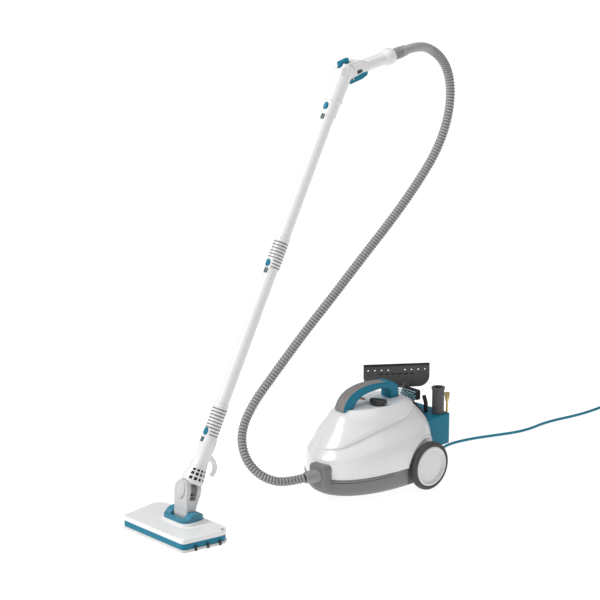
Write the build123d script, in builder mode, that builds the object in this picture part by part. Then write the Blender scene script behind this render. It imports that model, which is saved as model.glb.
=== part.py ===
from build123d import *
import os
from math import atan, cos, degrees, pi, radians, sin, tan

os.makedirs("parts", exist_ok=True)

# ---------------------------------------------------------------- driving dimensions (mm)
# Frame: origin under the middle of the machine, +Z up, canister nose towards -Y.
canister_x = 20.7          # canister mid-plane
axle_y = 269.0             # rear axle, and the zero of every canister Y below
wall = 3.0                 # moulded casing wall
floor_gap = 14.0           # under the base tray
seam_z = 66.0              # casing to base seam, above the axle
seam_tilt = 2.1            # the seam drops this many degrees towards the nose
rear_cut = 47.0            # the casings end here and the rear panel starts

wheel_radius = 57.0
wheel_outer = 134.0        # outer face of each rear wheel from the mid-plane
rim_radius = 47.0
axle_radius = 4.0
running_gap = 0.05
slip_gap = 0.3

head_x = -54.0             # floor head centre
head_front_half, head_rear_half = 104.0, 124.0
head_front = -678.0
head_rear = -555.0
wand_x = -48.0             # plane that the wand leans in
wand_lean = 27.85          # from upright, backwards
wand_foot_y, wand_foot_z = -537.3, 165.0
fork_lean = 12.0
roll_y, roll_z = -581.0, 98.0
fork_drop = 56.0           # roll pin down to the pitch pin
tube_radius = 14.75
bore_radius = 12.2
collar_radius = 16.8

hose_radius = 11.0
cord_radius = 3.5


def level(z):
    """Horizontal plane of the canister at height z."""
    return Plane(origin=(canister_x, axle_y, z))


def side(x):
    """Upright plane across the canister at x: local axes are +Y and +Z, facing +X."""
    return Plane(origin=(canister_x + x, axle_y, 0), x_dir=(0, 1, 0), z_dir=(1, 0, 0))


def front(y):
    """Upright plane along the canister at y: local axes are +X and +Z, facing -Y."""
    return Plane(origin=(canister_x, axle_y + y, 0), x_dir=(1, 0, 0), z_dir=(0, -1, 0))


def at(x, y, z):
    """A canister point in the part's frame."""
    return (canister_x + x, axle_y + y, z)


def wand(s, across=0.0):
    """Plane square to the wand, s up from its foot; local +Y is the wand's back."""
    lean = radians(wand_lean)
    y = wand_foot_y + s * sin(lean) + across * cos(lean)
    z = wand_foot_z + s * cos(lean) - across * sin(lean)
    return Plane(origin=at(wand_x, y, z), x_dir=(1, 0, 0), z_dir=(0, sin(lean), cos(lean)))


# ---------------------------------------------------------------- canister casings
waist = -40.0
#             z, half width, nose, tail
egg_rows = [(floor_gap, 98, -226, 62),
            (27, 108, -238, 72),
            (56, 115, -243, 80),
            (104, 116, -237, 84),
            (136, 106, -216, 80),
            (166, 87, -193, 64),
            (190, 68, -175, 38),
            (200, 57, -163, 18)]


def egg(z, half_width, nose, tail):
    """Egg-shaped section: super-ellipse in front of the waist, ellipse behind it."""
    points = []
    count = 24
    for step in range(count):
        angle = 2 * pi * step / count
        ahead = sin(angle) < 0
        power = 2 / 2.25 if ahead else 1.0
        reach = waist - nose if ahead else tail - waist
        x = half_width * abs(cos(angle)) ** power * (1 if cos(angle) > 0 else -1)
        y = waist + reach * abs(sin(angle)) ** power * (-1 if ahead else 1)
        points.append((x, y))
    with BuildSketch(level(z)) as section:
        with BuildLine():
            Spline(*points, periodic=True)
        make_face()
    return section.sketch


def hull(inset):
    """The egg-shaped body, drawn in by inset on every side."""
    last = len(egg_rows) - 1
    sections = []
    for number, (z, half_width, nose, tail) in enumerate(egg_rows):
        rise = inset if number == 0 else -inset if number == last else 0
        sections.append(egg(z + rise, half_width - inset, nose + inset, tail - inset))
    with BuildPart() as body:
        loft(sections)
    return body.part


def wheel_arches(radius, inner_x):
    """Two cylinders about the axle, from inner_x outwards."""
    with BuildPart() as arches:
        for hand in (1, -1):
            with BuildSketch(side(hand * inner_x)):
                with Locations((0, wheel_radius)):
                    Circle(radius)
            extrude(amount=hand * 60)
    return arches.part


arch_radius, arch_inner = 62.0, 99.0
outer_hull = hull(0)
cavity = hull(wall) - wheel_arches(arch_radius + wall, arch_inner - wall)
arches = wheel_arches(arch_radius, arch_inner)
tilt = radians(seam_tilt)
seam = Plane(origin=at(0, 0, seam_z), x_dir=(1, 0, 0), z_dir=(0, -sin(tilt), cos(tilt)))
tail_plane = Plane(origin=at(0, rear_cut, 0), x_dir=(1, 0, 0), z_dir=(0, -1, 0))

cap_x, cap_y = 30.0, -76.0
lamp_x, lamp_y = -27.0, -74.0
deck_z = 200.0
neck_radius = 15.0

with BuildPart() as upper_casing:
    add(outer_hull)
    add(arches, mode=Mode.SUBTRACT)
    add(cavity, mode=Mode.SUBTRACT)
    split(bisect_by=seam, keep=Keep.TOP)
    split(bisect_by=tail_plane, keep=Keep.TOP)
    with BuildSketch(level(deck_z + 5)):
        with Locations((cap_x, cap_y)):
            Circle(neck_radius + 1)
        with Locations((lamp_x, lamp_y)):
            Ellipse(11, 5)
    extrude(amount=-15, mode=Mode.SUBTRACT)
upper_casing.part.label = "upper_casing"
export_step(upper_casing.part, "parts/upper_casing.step")

caster_y = -198.0
caster_trail = 8.0
caster_radius = 11.0
pocket_radius = 24.0
panel_x = 16.0

with BuildPart() as base_tray:
    add(outer_hull)
    add(arches, mode=Mode.SUBTRACT)
    add(cavity, mode=Mode.SUBTRACT)
    split(bisect_by=seam, keep=Keep.BOTTOM)
    split(bisect_by=tail_plane, keep=Keep.TOP)
    with BuildSketch(level(floor_gap + 1)):
        with Locations((0, caster_y)):
            Circle(pocket_radius + wall)
    extrude(amount=18)
    with BuildSketch(level(floor_gap + 18)):
        with Locations((0, caster_y)):
            Circle(8)
    extrude(amount=12)
    with BuildSketch(level(floor_gap - 2)):
        with Locations((0, caster_y)):
            Circle(pocket_radius)
    extrude(amount=18, mode=Mode.SUBTRACT)
    with BuildSketch(level(floor_gap)):
        with Locations((0, caster_y)):
            Circle(3.5 + running_gap)
    extrude(amount=60, mode=Mode.SUBTRACT)
    with BuildSketch(side(-arch_inner)):
        with Locations((0, wheel_radius)):
            Circle(axle_radius + running_gap)
    extrude(amount=2 * arch_inner, mode=Mode.SUBTRACT)
base_tray.part.label = "base_tray"
export_step(base_tray.part, "parts/base_tray.step")

cord_exit_x, cord_exit_z = -30.0, 44.0
panel_thick = 5.0
with BuildPart() as rear_panel:
    add(outer_hull)
    add(arches, mode=Mode.SUBTRACT)
    split(bisect_by=tail_plane, keep=Keep.BOTTOM)
    split(bisect_by=Plane(origin=at(0, rear_cut + panel_thick, 0), x_dir=(1, 0, 0), z_dir=(0, -1, 0)),
          keep=Keep.TOP)
    with BuildSketch(front(rear_cut)):
        with Locations((cord_exit_x, cord_exit_z)):
            Circle(6.5)
    extrude(amount=-panel_thick, mode=Mode.SUBTRACT)
rear_panel.part.label = "rear_panel"
export_step(rear_panel.part, "parts/rear_panel.step")

# Hose panel: a rounded block let into the nose, with a round socket for the hose cuff.
panel_top, panel_bottom, panel_front = 92.0, 36.0, -256.0
socket_z = 66.0
socket_turn = 15.0
socket_plane = Plane(origin=at(panel_x, panel_front, socket_z),
                     x_dir=(cos(radians(socket_turn)), -sin(radians(socket_turn)), 0),
                     z_dir=(-sin(radians(socket_turn)), -cos(radians(socket_turn)), 0))
with BuildPart() as hose_panel:
    with BuildSketch(front(panel_front)):
        with Locations((panel_x, (panel_top + panel_bottom) / 2)):
            RectangleRounded(52, panel_top - panel_bottom, 10)
    extrude(amount=-50)
    fillet(hose_panel.faces().sort_by(Axis.Y)[0].edges(), 4)
    add(outer_hull, mode=Mode.SUBTRACT)
    with BuildSketch(socket_plane):
        Circle(15.2)
    extrude(amount=8, both=True, mode=Mode.SUBTRACT)
hose_panel.part.label = "hose_panel"
export_step(hose_panel.part, "parts/hose_panel.step")

cuff_length = 30.0
with BuildPart() as canister_cuff:
    with BuildSketch(socket_plane.offset(-8)):
        Circle(15)
    extrude(amount=14)
    with BuildSketch(socket_plane.offset(6)):
        Circle(14)
    extrude(amount=cuff_length - 6, taper=4)
    for ring in range(4):
        with BuildSketch(socket_plane.offset(9 + 5 * ring)):
            Circle(14.8 - 0.3 * ring)
        extrude(amount=2.4)
    with BuildSketch(socket_plane.offset(-8)):
        Circle(6)
    extrude(amount=cuff_length + 8, mode=Mode.SUBTRACT)
canister_cuff.part.label = "canister_cuff"
export_step(canister_cuff.part, "parts/canister_cuff.step")
hose_low_end = socket_plane.offset(cuff_length).origin

# ---------------------------------------------------------------- steam generator inside the canister
boiler_y, boiler_low, boiler_high, boiler_radius = -72.0, 44.0, 132.0, 58.0
with BuildPart() as boiler:
    with BuildSketch(level(boiler_low)):
        with Locations((0, boiler_y)):
            Circle(boiler_radius)
    extrude(amount=boiler_high - boiler_low)
    fillet(boiler.edges().filter_by(GeomType.CIRCLE), 10)
    with BuildSketch(level(boiler_low + 6)):
        with Locations((0, boiler_y)):
            Circle(boiler_radius - 6)
    extrude(amount=boiler_high - boiler_low - 12, mode=Mode.SUBTRACT)
    with BuildSketch(level(boiler_high - 10)):
        with Locations((cap_x, cap_y)):
            Circle(11)
    extrude(amount=20, mode=Mode.SUBTRACT)
boiler.part.label = "boiler"
export_step(boiler.part, "parts/boiler.step")

with BuildPart() as filler_neck:
    with BuildSketch(level(boiler_high)):
        with Locations((cap_x, cap_y)):
            Circle(neck_radius)
            Circle(11, mode=Mode.SUBTRACT)
    extrude(amount=deck_z - 5 - boiler_high)
filler_neck.part.label = "filler_neck"
export_step(filler_neck.part, "parts/filler_neck.step")

with BuildPart() as heating_element:
    with BuildSketch(front(boiler_y)):
        with Locations((40, boiler_low - 5)):
            Circle(4.8)
    revolve(axis=Axis(at(0, boiler_y, 0), (0, 0, 1)), revolution_arc=330)
heating_element.part.label = "heating_element"
export_step(heating_element.part, "parts/heating_element.step")

with BuildPart() as thermostat:
    with BuildSketch(level(boiler_high)):
        with Locations((-25, boiler_y)):
            Circle(9)
    extrude(amount=9)
    with BuildSketch(level(boiler_high + 9)):
        with Locations((-30, boiler_y), (-20, boiler_y)):
            Rectangle(1, 5)
    extrude(amount=7)
thermostat.part.label = "thermostat"
export_step(thermostat.part, "parts/thermostat.step")

valve_y = -168.0
with BuildPart() as steam_valve:
    with BuildSketch(level(80)):
        with Locations((0, valve_y)):
            RectangleRounded(32, 40, 4)
    extrude(amount=26)
    with BuildSketch(level(106)):
        with Locations((0, valve_y)):
            Circle(12)
    extrude(amount=22)
steam_valve.part.label = "steam_valve"
export_step(steam_valve.part, "parts/steam_valve.step")

with BuildPart() as steam_pipe:
    with BuildLine():
        FilletPolyline(at(0, valve_y, 80), at(0, valve_y, 60), at(12, valve_y - 22, 56),
                       at(panel_x + 2, -214, 64), at(panel_x, -235, socket_z), radius=8)
    with BuildSketch(Plane(origin=at(0, valve_y, 80), x_dir=(1, 0, 0), z_dir=(0, 0, -1))):
        Circle(4)
    sweep()
steam_pipe.part.label = "steam_pipe"
export_step(steam_pipe.part, "parts/steam_pipe.step")

# ---------------------------------------------------------------- deck pieces
with BuildPart() as indicator_lens:
    with BuildSketch(level(deck_z - 3)):
        with Locations((lamp_x, lamp_y)):
            Ellipse(10.8, 4.8)
    extrude(amount=5)
    fillet(indicator_lens.faces().sort_by(Axis.Z)[-1].edges(), 1.2)
indicator_lens.part.label = "indicator_lens"
export_step(indicator_lens.part, "parts/indicator_lens.step")

with BuildPart() as safety_cap:
    with BuildSketch(level(deck_z + 0.6)):
        with Locations((cap_x, cap_y)):
            Circle(16)
    extrude(amount=4)
    with BuildSketch(level(deck_z + 4)):
        with Locations((cap_x, cap_y)):
            SlotOverall(44, 20, rotation=20)
    extrude(amount=8, taper=8)
    fillet(safety_cap.faces().sort_by(Axis.Z)[-1].edges(), 3)
    with BuildSketch(level(deck_z + 0.6)):
        with Locations((cap_x, cap_y)):
            Circle(11 - slip_gap)
    extrude(amount=-24)
safety_cap.part.label = "safety_cap"
export_step(safety_cap.part, "parts/safety_cap.step")

# Carry handle: an arch over the deck, wider than it is thick, with a soft grip let into its top.
arch_top = [(-171, 196), (-166, 213), (-147, 232), (-119, 242), (-75, 245), (-34, 241),
            (-8, 235), (5, 222), (7, 188)]
arch_under = [(-22, 188), (-23, 217), (-34, 224), (-75, 228), (-108, 224), (-128, 214), (-141, 196)]
grip_under = [(-31, 235), (-75, 239), (-117, 236), (-143, 227), (-160, 210), (-164, 199)]
with BuildPart() as grip_insert:
    with BuildSketch(side(-13)):
        with BuildLine():
            Spline(*arch_top[:6])
            Line(arch_top[5], grip_under[0])
            Spline(*grip_under)
            Line(grip_under[-1], arch_top[0])
        make_face()
    extrude(amount=26)
grip_insert.part.label = "grip_insert"
export_step(grip_insert.part, "parts/grip_insert.step")

with BuildPart() as carry_handle:
    with BuildSketch(side(-17)):
        with BuildLine():
            Spline(*arch_top[:6])
            Spline(*arch_top[5:8])
            Line(arch_top[7], arch_top[8])
            Line(arch_top[8], arch_under[0])
            Line(arch_under[0], arch_under[1])
            Spline(*arch_under[1:])
            Line(arch_under[-1], arch_top[0])
        make_face()
    extrude(amount=34)
    fillet(carry_handle.faces().sort_by(Axis.X)[0].edges(), 4)
    fillet(carry_handle.faces().sort_by(Axis.X)[-1].edges(), 4)
    add(grip_insert.part, mode=Mode.SUBTRACT)
    add(outer_hull, mode=Mode.SUBTRACT)
carry_handle.part.label = "carry_handle"
export_step(carry_handle.part, "parts/carry_handle.step")

# ---------------------------------------------------------------- wheels and caster
with BuildPart() as rear_axle:
    with BuildSketch(side(-126)):
        with Locations((0, wheel_radius)):
            Circle(axle_radius)
    extrude(amount=252)
rear_axle.part.label = "rear_axle"
export_step(rear_axle.part, "parts/rear_axle.step")

for hand, name in ((1, "left"), (-1, "right")):
    axle_line = Axis(at(0, 0, wheel_radius), (1, 0, 0))
    inner, outer = 114 * hand, (wheel_outer - 3) * hand
    bore = wheel_radius + axle_radius + running_gap
    rim = wheel_radius + rim_radius
    with BuildPart() as wheel_disc:
        with BuildSketch(front(0)):
            with BuildLine():
                Polyline((inner, bore), (126.5 * hand, bore), (126.5 * hand, wheel_radius),
                         (wheel_outer * hand, wheel_radius))
                ThreePointArc((wheel_outer * hand, wheel_radius),
                              ((wheel_outer - 0.7) * hand, wheel_radius + 25),
                              (outer, rim))
                Polyline((outer, rim), (inner, rim), (inner, rim - 4), (outer - 3 * hand, rim - 4),
                         (outer - 3 * hand, wheel_radius + 11), (inner, wheel_radius + 11), (inner, bore))
            make_face()
        revolve(axis=axle_line)
    wheel_disc.part.label = "wheel_disc_" + name
    export_step(wheel_disc.part, "parts/wheel_disc_" + name + ".step")
    with BuildPart() as tyre:
        with BuildSketch(front(0)):
            with Locations((122.5 * hand, wheel_radius + (wheel_radius + rim_radius) / 2)):
                Rectangle(17, wheel_radius - rim_radius)
            crown = [v for v in vertices() if v.Z > rim + 1]
            fillet(crown, 4.5)
        revolve(axis=axle_line)
    tyre.part.label = "tyre_" + name
    export_step(tyre.part, "parts/tyre_" + name + ".step")

caster_wheel_y = caster_y + caster_trail
with BuildPart() as caster_fork:
    with BuildSketch(level(27)):
        with Locations((0, caster_y)):
            Circle(13)
    extrude(amount=2.4)
    with BuildSketch(level(29.4)):
        with Locations((0, caster_y)):
            Circle(3.5)
    extrude(amount=16)
    for hand in (1, -1):
        with BuildSketch(side(hand * 7)):
            with BuildLine():
                Polyline((caster_y - 6, 29.4), (caster_y + 10, 29.4), (caster_wheel_y + 5, caster_radius))
                RadiusArc((caster_wheel_y + 5, caster_radius), (caster_wheel_y - 5, caster_radius), 5)
                Line((caster_wheel_y - 5, caster_radius), (caster_y - 6, 29.4))
            make_face()
        extrude(amount=hand * 2.4)
    with BuildSketch(side(-9.4)):
        with Locations((caster_wheel_y, caster_radius)):
            Circle(1.5)
    extrude(amount=18.8)
caster_fork.part.label = "caster_fork"
export_step(caster_fork.part, "parts/caster_fork.step")

with BuildPart() as caster_wheel:
    with BuildSketch(side(-6.4)):
        with Locations((caster_wheel_y, caster_radius)):
            Circle(caster_radius)
            Circle(1.5 + running_gap, mode=Mode.SUBTRACT)
    extrude(amount=12.8)
    fillet(caster_wheel.edges().filter_by(GeomType.CIRCLE).sort_by(SortBy.RADIUS)[-2:], 1.5)
caster_wheel.part.label = "caster_wheel"
export_step(caster_wheel.part, "parts/caster_wheel.step")

# ---------------------------------------------------------------- tool caddy and the tools in it
caddy_half, caddy_front, caddy_back, caddy_low, caddy_high = 67.0, rear_cut + panel_thick, 131.0, 70.0, 142.0
caddy_mid = (caddy_front + caddy_back) / 2
squeegee_at, brush_at, nozzle_at, lance_at, brass_at = (-48, 92), (-16, 80), (20, 92), (45, 107), (58, 124)
lance_radius = 14.2
sockets = [(squeegee_at, 7.0, 36.0), (brush_at, 6.0, 30.0), (nozzle_at, 4.8, 30.0),
           (lance_at, lance_radius, 30.0), (brass_at, 2.6, 24.0)]
with BuildPart() as tool_caddy:
    with BuildSketch(level(caddy_low)):
        with Locations((0, caddy_mid)):
            Rectangle(2 * caddy_half, caddy_back - caddy_front)
    extrude(amount=caddy_high - caddy_low)
    fillet(tool_caddy.edges().filter_by(Axis.Z).group_by(Axis.Y)[-1], 12)
    fillet(tool_caddy.faces().sort_by(Axis.Z)[-1].edges().sort_by(Axis.Y)[1:], 2.5)
    with BuildSketch(level(caddy_low - 1)):
        with Locations((0, caddy_mid)):
            RectangleRounded(2 * caddy_half - 6, caddy_back - caddy_front - 6, 9)
    extrude(amount=caddy_high - caddy_low - 2, mode=Mode.SUBTRACT)
    for place, radius, depth in sockets:
        with BuildSketch(level(caddy_high - 2)):
            with Locations(place):
                Circle(radius + slip_gap + 2)
        extrude(amount=-depth)
    for place, radius, depth in sockets:
        with BuildSketch(level(caddy_high + 1)):
            with Locations(place):
                Circle(radius + slip_gap)
        extrude(amount=-depth, mode=Mode.SUBTRACT)
tool_caddy.part.label = "tool_caddy"
export_step(tool_caddy.part, "parts/tool_caddy.step")

# Window squeegee: flat perforated plate with a rubber blade along its top edge, on a round neck.
plate_turn = 54.5
plate_low, plate_high, plate_width, plate_thick = 189.0, 241.0, 158.0, 5.0
plate_shift = -22.0
turn = radians(plate_turn)
plate_plane = Plane(origin=at(squeegee_at[0], squeegee_at[1], 0), x_dir=(cos(turn), sin(turn), 0),
                    z_dir=(sin(turn), -cos(turn), 0))
corner = 26.0
left, right = plate_shift - plate_width / 2, plate_shift + plate_width / 2
with BuildPart() as squeegee_plate:
    with BuildSketch(plate_plane.offset(plate_thick / 2)):
        with BuildLine():
            Polyline((left, plate_low + corner), (left, plate_high), (right, plate_high),
                     (right, plate_low + corner))
            RadiusArc((right, plate_low + corner), (right - corner, plate_low), corner)
            Line((right - corner, plate_low), (left + corner, plate_low))
            RadiusArc((left + corner, plate_low), (left, plate_low + corner), corner)
        make_face()
        for hand in (1, -1):
            with Locations((plate_shift + hand * 44, plate_high - 10)):
                with GridLocations(16, 1, 4, 1):
                    Circle(2.2, mode=Mode.SUBTRACT)
    extrude(amount=-plate_thick)
    with BuildSketch(plate_plane.offset(plate_thick / 2)):
        with Locations((plate_shift, plate_high - 19)):
            with GridLocations(15, 1, 6, 1):
                SlotOverall(11, 3.4)
    extrude(amount=-1.5, mode=Mode.SUBTRACT)
    with BuildSketch(level(caddy_high + 0.5)):
        with Locations(squeegee_at):
            Circle(8.5)
    extrude(amount=plate_low + 12 - caddy_high)
    with BuildSketch(level(caddy_high + 0.5)):
        with Locations(squeegee_at):
            Circle(7)
    extrude(amount=-30)
squeegee_plate.part.label = "squeegee_plate"
export_step(squeegee_plate.part, "parts/squeegee_plate.step")

with BuildPart() as squeegee_blade:
    with BuildSketch(plate_plane.offset(1.5)):
        with Locations((plate_shift, plate_high + 2.5)):
            Rectangle(plate_width, 5)
    extrude(amount=-3)
squeegee_blade.part.label = "squeegee_blade"
export_step(squeegee_blade.part, "parts/squeegee_blade.step")

# Scrubbing brush: a flat block whose bristle rows face backwards and up.
brush_low, brush_high = 172.0, 194.0
with BuildPart() as brush_block:
    with BuildSketch(level(brush_low)):
        with Locations(brush_at):
            RectangleRounded(48, 16, 5)
    extrude(amount=brush_high - brush_low)
    fillet(brush_block.faces().sort_by(Axis.Z)[-1].edges(), 2)
    with BuildSketch(level(caddy_high + 0.5)):
        with Locations(brush_at):
            Circle(7.5)
    extrude(amount=brush_low - caddy_high)
    with BuildSketch(level(caddy_high + 0.5)):
        with Locations(brush_at):
            Circle(6)
    extrude(amount=-26)
brush_block.part.label = "brush_block"
export_step(brush_block.part, "parts/brush_block.step")

with BuildPart() as brush_bristles:
    for row in range(3):
        with BuildSketch(front(brush_at[1] - 8)):
            with Locations((brush_at[0], brush_low + 5 + 6 * row)):
                with GridLocations(7.4, 1, 6, 1):
                    Circle(2)
        extrude(amount=9)
brush_bristles.part.label = "brush_bristles"
export_step(brush_bristles.part, "parts/brush_bristles.step")

nozzle_x, nozzle_y = nozzle_at
with BuildPart() as bent_nozzle:
    with BuildSketch(level(caddy_high - 26)):
        with Locations(nozzle_at):
            Circle(4.8)
    extrude(amount=30)
    with BuildLine():
        FilletPolyline(at(nozzle_x, nozzle_y, caddy_high + 4), at(nozzle_x, nozzle_y, caddy_high + 22),
                       at(nozzle_x - 5, nozzle_y - 2, caddy_high + 40), radius=14)
    with BuildSketch(level(caddy_high + 4)):
        with Locations(nozzle_at):
            Circle(4.8)
    sweep()
bent_nozzle.part.label = "bent_nozzle"
export_step(bent_nozzle.part, "parts/bent_nozzle.step")

with BuildPart() as lance:
    with BuildSketch(level(caddy_high - 26)):
        with Locations(lance_at):
            Circle(lance_radius)
    extrude(amount=90)
    with BuildSketch(level(caddy_high + 0.5)):
        with Locations(lance_at):
            Circle(lance_radius + 0.6)
    extrude(amount=3)
    with BuildSketch(level(caddy_high + 59)):
        with Locations(lance_at):
            Circle(lance_radius + 1.8)
    extrude(amount=5)
    with BuildSketch(level(caddy_high + 65)):
        with Locations(lance_at):
            Circle(10)
    extrude(amount=-7, mode=Mode.SUBTRACT)
lance.part.label = "lance"
export_step(lance.part, "parts/lance.step")

with BuildPart() as brass_brush:
    with BuildSketch(level(caddy_high - 20)):
        with Locations(brass_at):
            Circle(2.6)
    extrude(amount=50)
    with BuildSketch(level(caddy_high + 30)):
        with Locations(brass_at):
            Circle(4)
    extrude(amount=20)
brass_brush.part.label = "brass_brush"
export_step(brass_brush.part, "parts/brass_brush.step")

# ---------------------------------------------------------------- wand: neck, tubes and their collars
neck_top = 41.0
low_collar_top = 118.0
mid_collar_low, mid_collar_top = 436.0, 512.0
gun_low = 832.0
button_spots = {"low": 52.0, "mid": 446.0, "top": 817.0}

roll_lean = radians(fork_lean)
fork_front = Plane(origin=at(wand_x, roll_y, roll_z), x_dir=(1, 0, 0),
                   z_dir=(0, -cos(roll_lean), sin(roll_lean)))
fork_side = Plane(origin=at(wand_x, roll_y, roll_z), x_dir=(0, cos(roll_lean), -sin(roll_lean)),
                  z_dir=(1, 0, 0))
tongue_half, tongue_radius, pin_radius = 8.6, 20.0, 4.5

with BuildPart() as wand_neck:
    for s, width, across in ((-66, 45, -4), (-42, 43, -3), (-20, 35, -1), (0, 2 * collar_radius, 0),
                             (neck_top, 2 * collar_radius, 0)):
        with BuildSketch(wand(s, across)):
            RectangleRounded(width, width, width * 0.42)
    loft()
    with BuildSketch(wand(neck_top)):
        Circle(bore_radius - 0.2)
    extrude(amount=34)
    with BuildSketch(fork_front.offset(24)):
        Circle(22.7)
    extrude(amount=-48, mode=Mode.SUBTRACT)
    with BuildSketch(fork_front.offset(tongue_half)):
        Circle(tongue_radius)
        with Locations((0, 14)):
            Rectangle(30, 30)
    extrude(amount=-2 * tongue_half)
    with BuildSketch(fork_front.offset(tongue_half + 1)):
        Circle(pin_radius + running_gap)
    extrude(amount=-2 * tongue_half - 2, mode=Mode.SUBTRACT)
    with BuildSketch(side(wand_x - 4)):
        with BuildLine():
            Spline((-527, 178), (-508, 152), (-500, 136), (-502, 118), (-512, 108))
            Line((-512, 108), (-517, 114))
            Spline((-517, 114), (-510, 122), (-509, 135), (-518, 146), (-530, 152))
            Line((-530, 152), (-527, 178))
        make_face()
    extrude(amount=8)
    with BuildSketch(wand(-52)):
        Circle(4.3)
    extrude(amount=200, mode=Mode.SUBTRACT)
wand_neck.part.label = "wand_neck"
export_step(wand_neck.part, "parts/wand_neck.step")


def collar(low, high, button, seat):
    """Ribbed collar on a tube's lower end: spigot bore below, tube seat above, button window."""
    with BuildPart() as body:
        with BuildSketch(wand(low)):
            Circle(collar_radius)
        extrude(amount=high - low)
        with BuildSketch(wand(high)):
            Circle(tube_radius)
        extrude(amount=-seat, mode=Mode.SUBTRACT)
        with BuildSketch(wand(low)):
            Circle(bore_radius)
        extrude(amount=high - low, mode=Mode.SUBTRACT)
        for ring in range(8):
            with BuildSketch(wand(high - 5 - 7 * ring)):
                Circle(collar_radius + 1)
                Circle(collar_radius - 1, mode=Mode.SUBTRACT)
            extrude(amount=-2.5, mode=Mode.SUBTRACT)
        with BuildSketch(button_plane(button)):
            SlotOverall(17, 11, rotation=90)
        extrude(amount=10, mode=Mode.SUBTRACT)
    return body.part


def button_plane(s):
    """Plane on the wand's front, at the inside of the button window, facing out."""
    lean = radians(wand_lean)
    foot = wand(s, -bore_radius).origin
    return Plane(origin=foot, x_dir=(1, 0, 0), z_dir=(0, -cos(lean), sin(lean)))


low_collar = collar(neck_top, low_collar_top, button_spots["low"], 24)
low_collar.label = "low_collar"
export_step(low_collar, "parts/low_collar.step")
mid_collar = collar(mid_collar_low, mid_collar_top, button_spots["mid"], 24)
mid_collar.label = "mid_collar"
export_step(mid_collar, "parts/mid_collar.step")

spigot = 34.0
for name, low, high in (("lower_tube", low_collar_top - 24, mid_collar_low),
                        ("upper_tube", mid_collar_top - 24, gun_low - 34)):
    with BuildPart() as tube:
        with BuildSketch(wand(low)):
            Circle(tube_radius)
        extrude(amount=high - low)
        with BuildSketch(wand(high)):
            Circle(bore_radius - 0.2)
        extrude(amount=spigot)
        with BuildSketch(wand(low)):
            Circle(9.5)
        extrude(amount=high - low + spigot, mode=Mode.SUBTRACT)
    tube.part.label = name
    export_step(tube.part, "parts/" + name + ".step")

with BuildPart() as steam_conduit:
    with BuildSketch(wand(-50)):
        Circle(4)
        Circle(3, mode=Mode.SUBTRACT)
    extrude(amount=gun_low + 50)
steam_conduit.part.label = "steam_conduit"
export_step(steam_conduit.part, "parts/steam_conduit.step")

for name, s in button_spots.items():
    with BuildPart() as tube_button:
        with BuildSketch(button_plane(s).offset(2.4)):
            SlotOverall(16.4, 10.4, rotation=90)
        extrude(amount=4.8)
        fillet(tube_button.faces().sort_by(Axis.Y)[0].edges(), 1.2)
    tube_button.part.label = name + "_tube_button"
    export_step(tube_button.part, "parts/" + name + "_tube_button.step")

# ---------------------------------------------------------------- gun handle
grip_rise = 9.4
rise = radians(grip_rise)
grip_y, grip_z = -67.0, 969.0
grip_radius = 14.6


def grip(s):
    """Plane square to the grip, s behind its reference point; facing back along the grip."""
    return Plane(origin=at(wand_x, grip_y + s * cos(rise), grip_z + s * sin(rise)), x_dir=(1, 0, 0),
                 z_dir=(0, cos(rise), sin(rise)))


def gun_body(inset):
    """Barrel, grip and swollen grip end as one solid, drawn in by inset."""
    with BuildPart() as body:
        with BuildSketch(wand(gun_low - 34 + inset)):
            Circle(collar_radius + 0.6 - inset)
        extrude(amount=44)
        for s, radius in ((gun_low, 18.5), (gun_low + 40, 19.5), (gun_low + 86, 20.5)):
            with BuildSketch(wand(s)):
                Circle(radius - inset)
        loft()
        with BuildSketch(side(wand_x - 15 + inset)):
            with BuildLine():
                Polyline((-138 + inset, 962), (-136 + inset, 973 - inset), (-122, 982 - inset),
                         (-84, 988 - inset), (-60, 984 - inset), (-46, 966 + inset),
                         (-112, 947 + inset), (-138 + inset, 962))
            make_face()
        extrude(amount=30 - 2 * inset)
        with BuildSketch(grip(-30)):
            Circle(grip_radius - inset)
        extrude(amount=108)
        with BuildSketch(grip(72)):
            Circle(15 - inset)
        with BuildSketch(grip(84)):
            Circle(19.5 - inset)
        with BuildSketch(grip(100 - inset)):
            Circle(18.5 - inset)
        loft()
    return body.part


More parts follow.
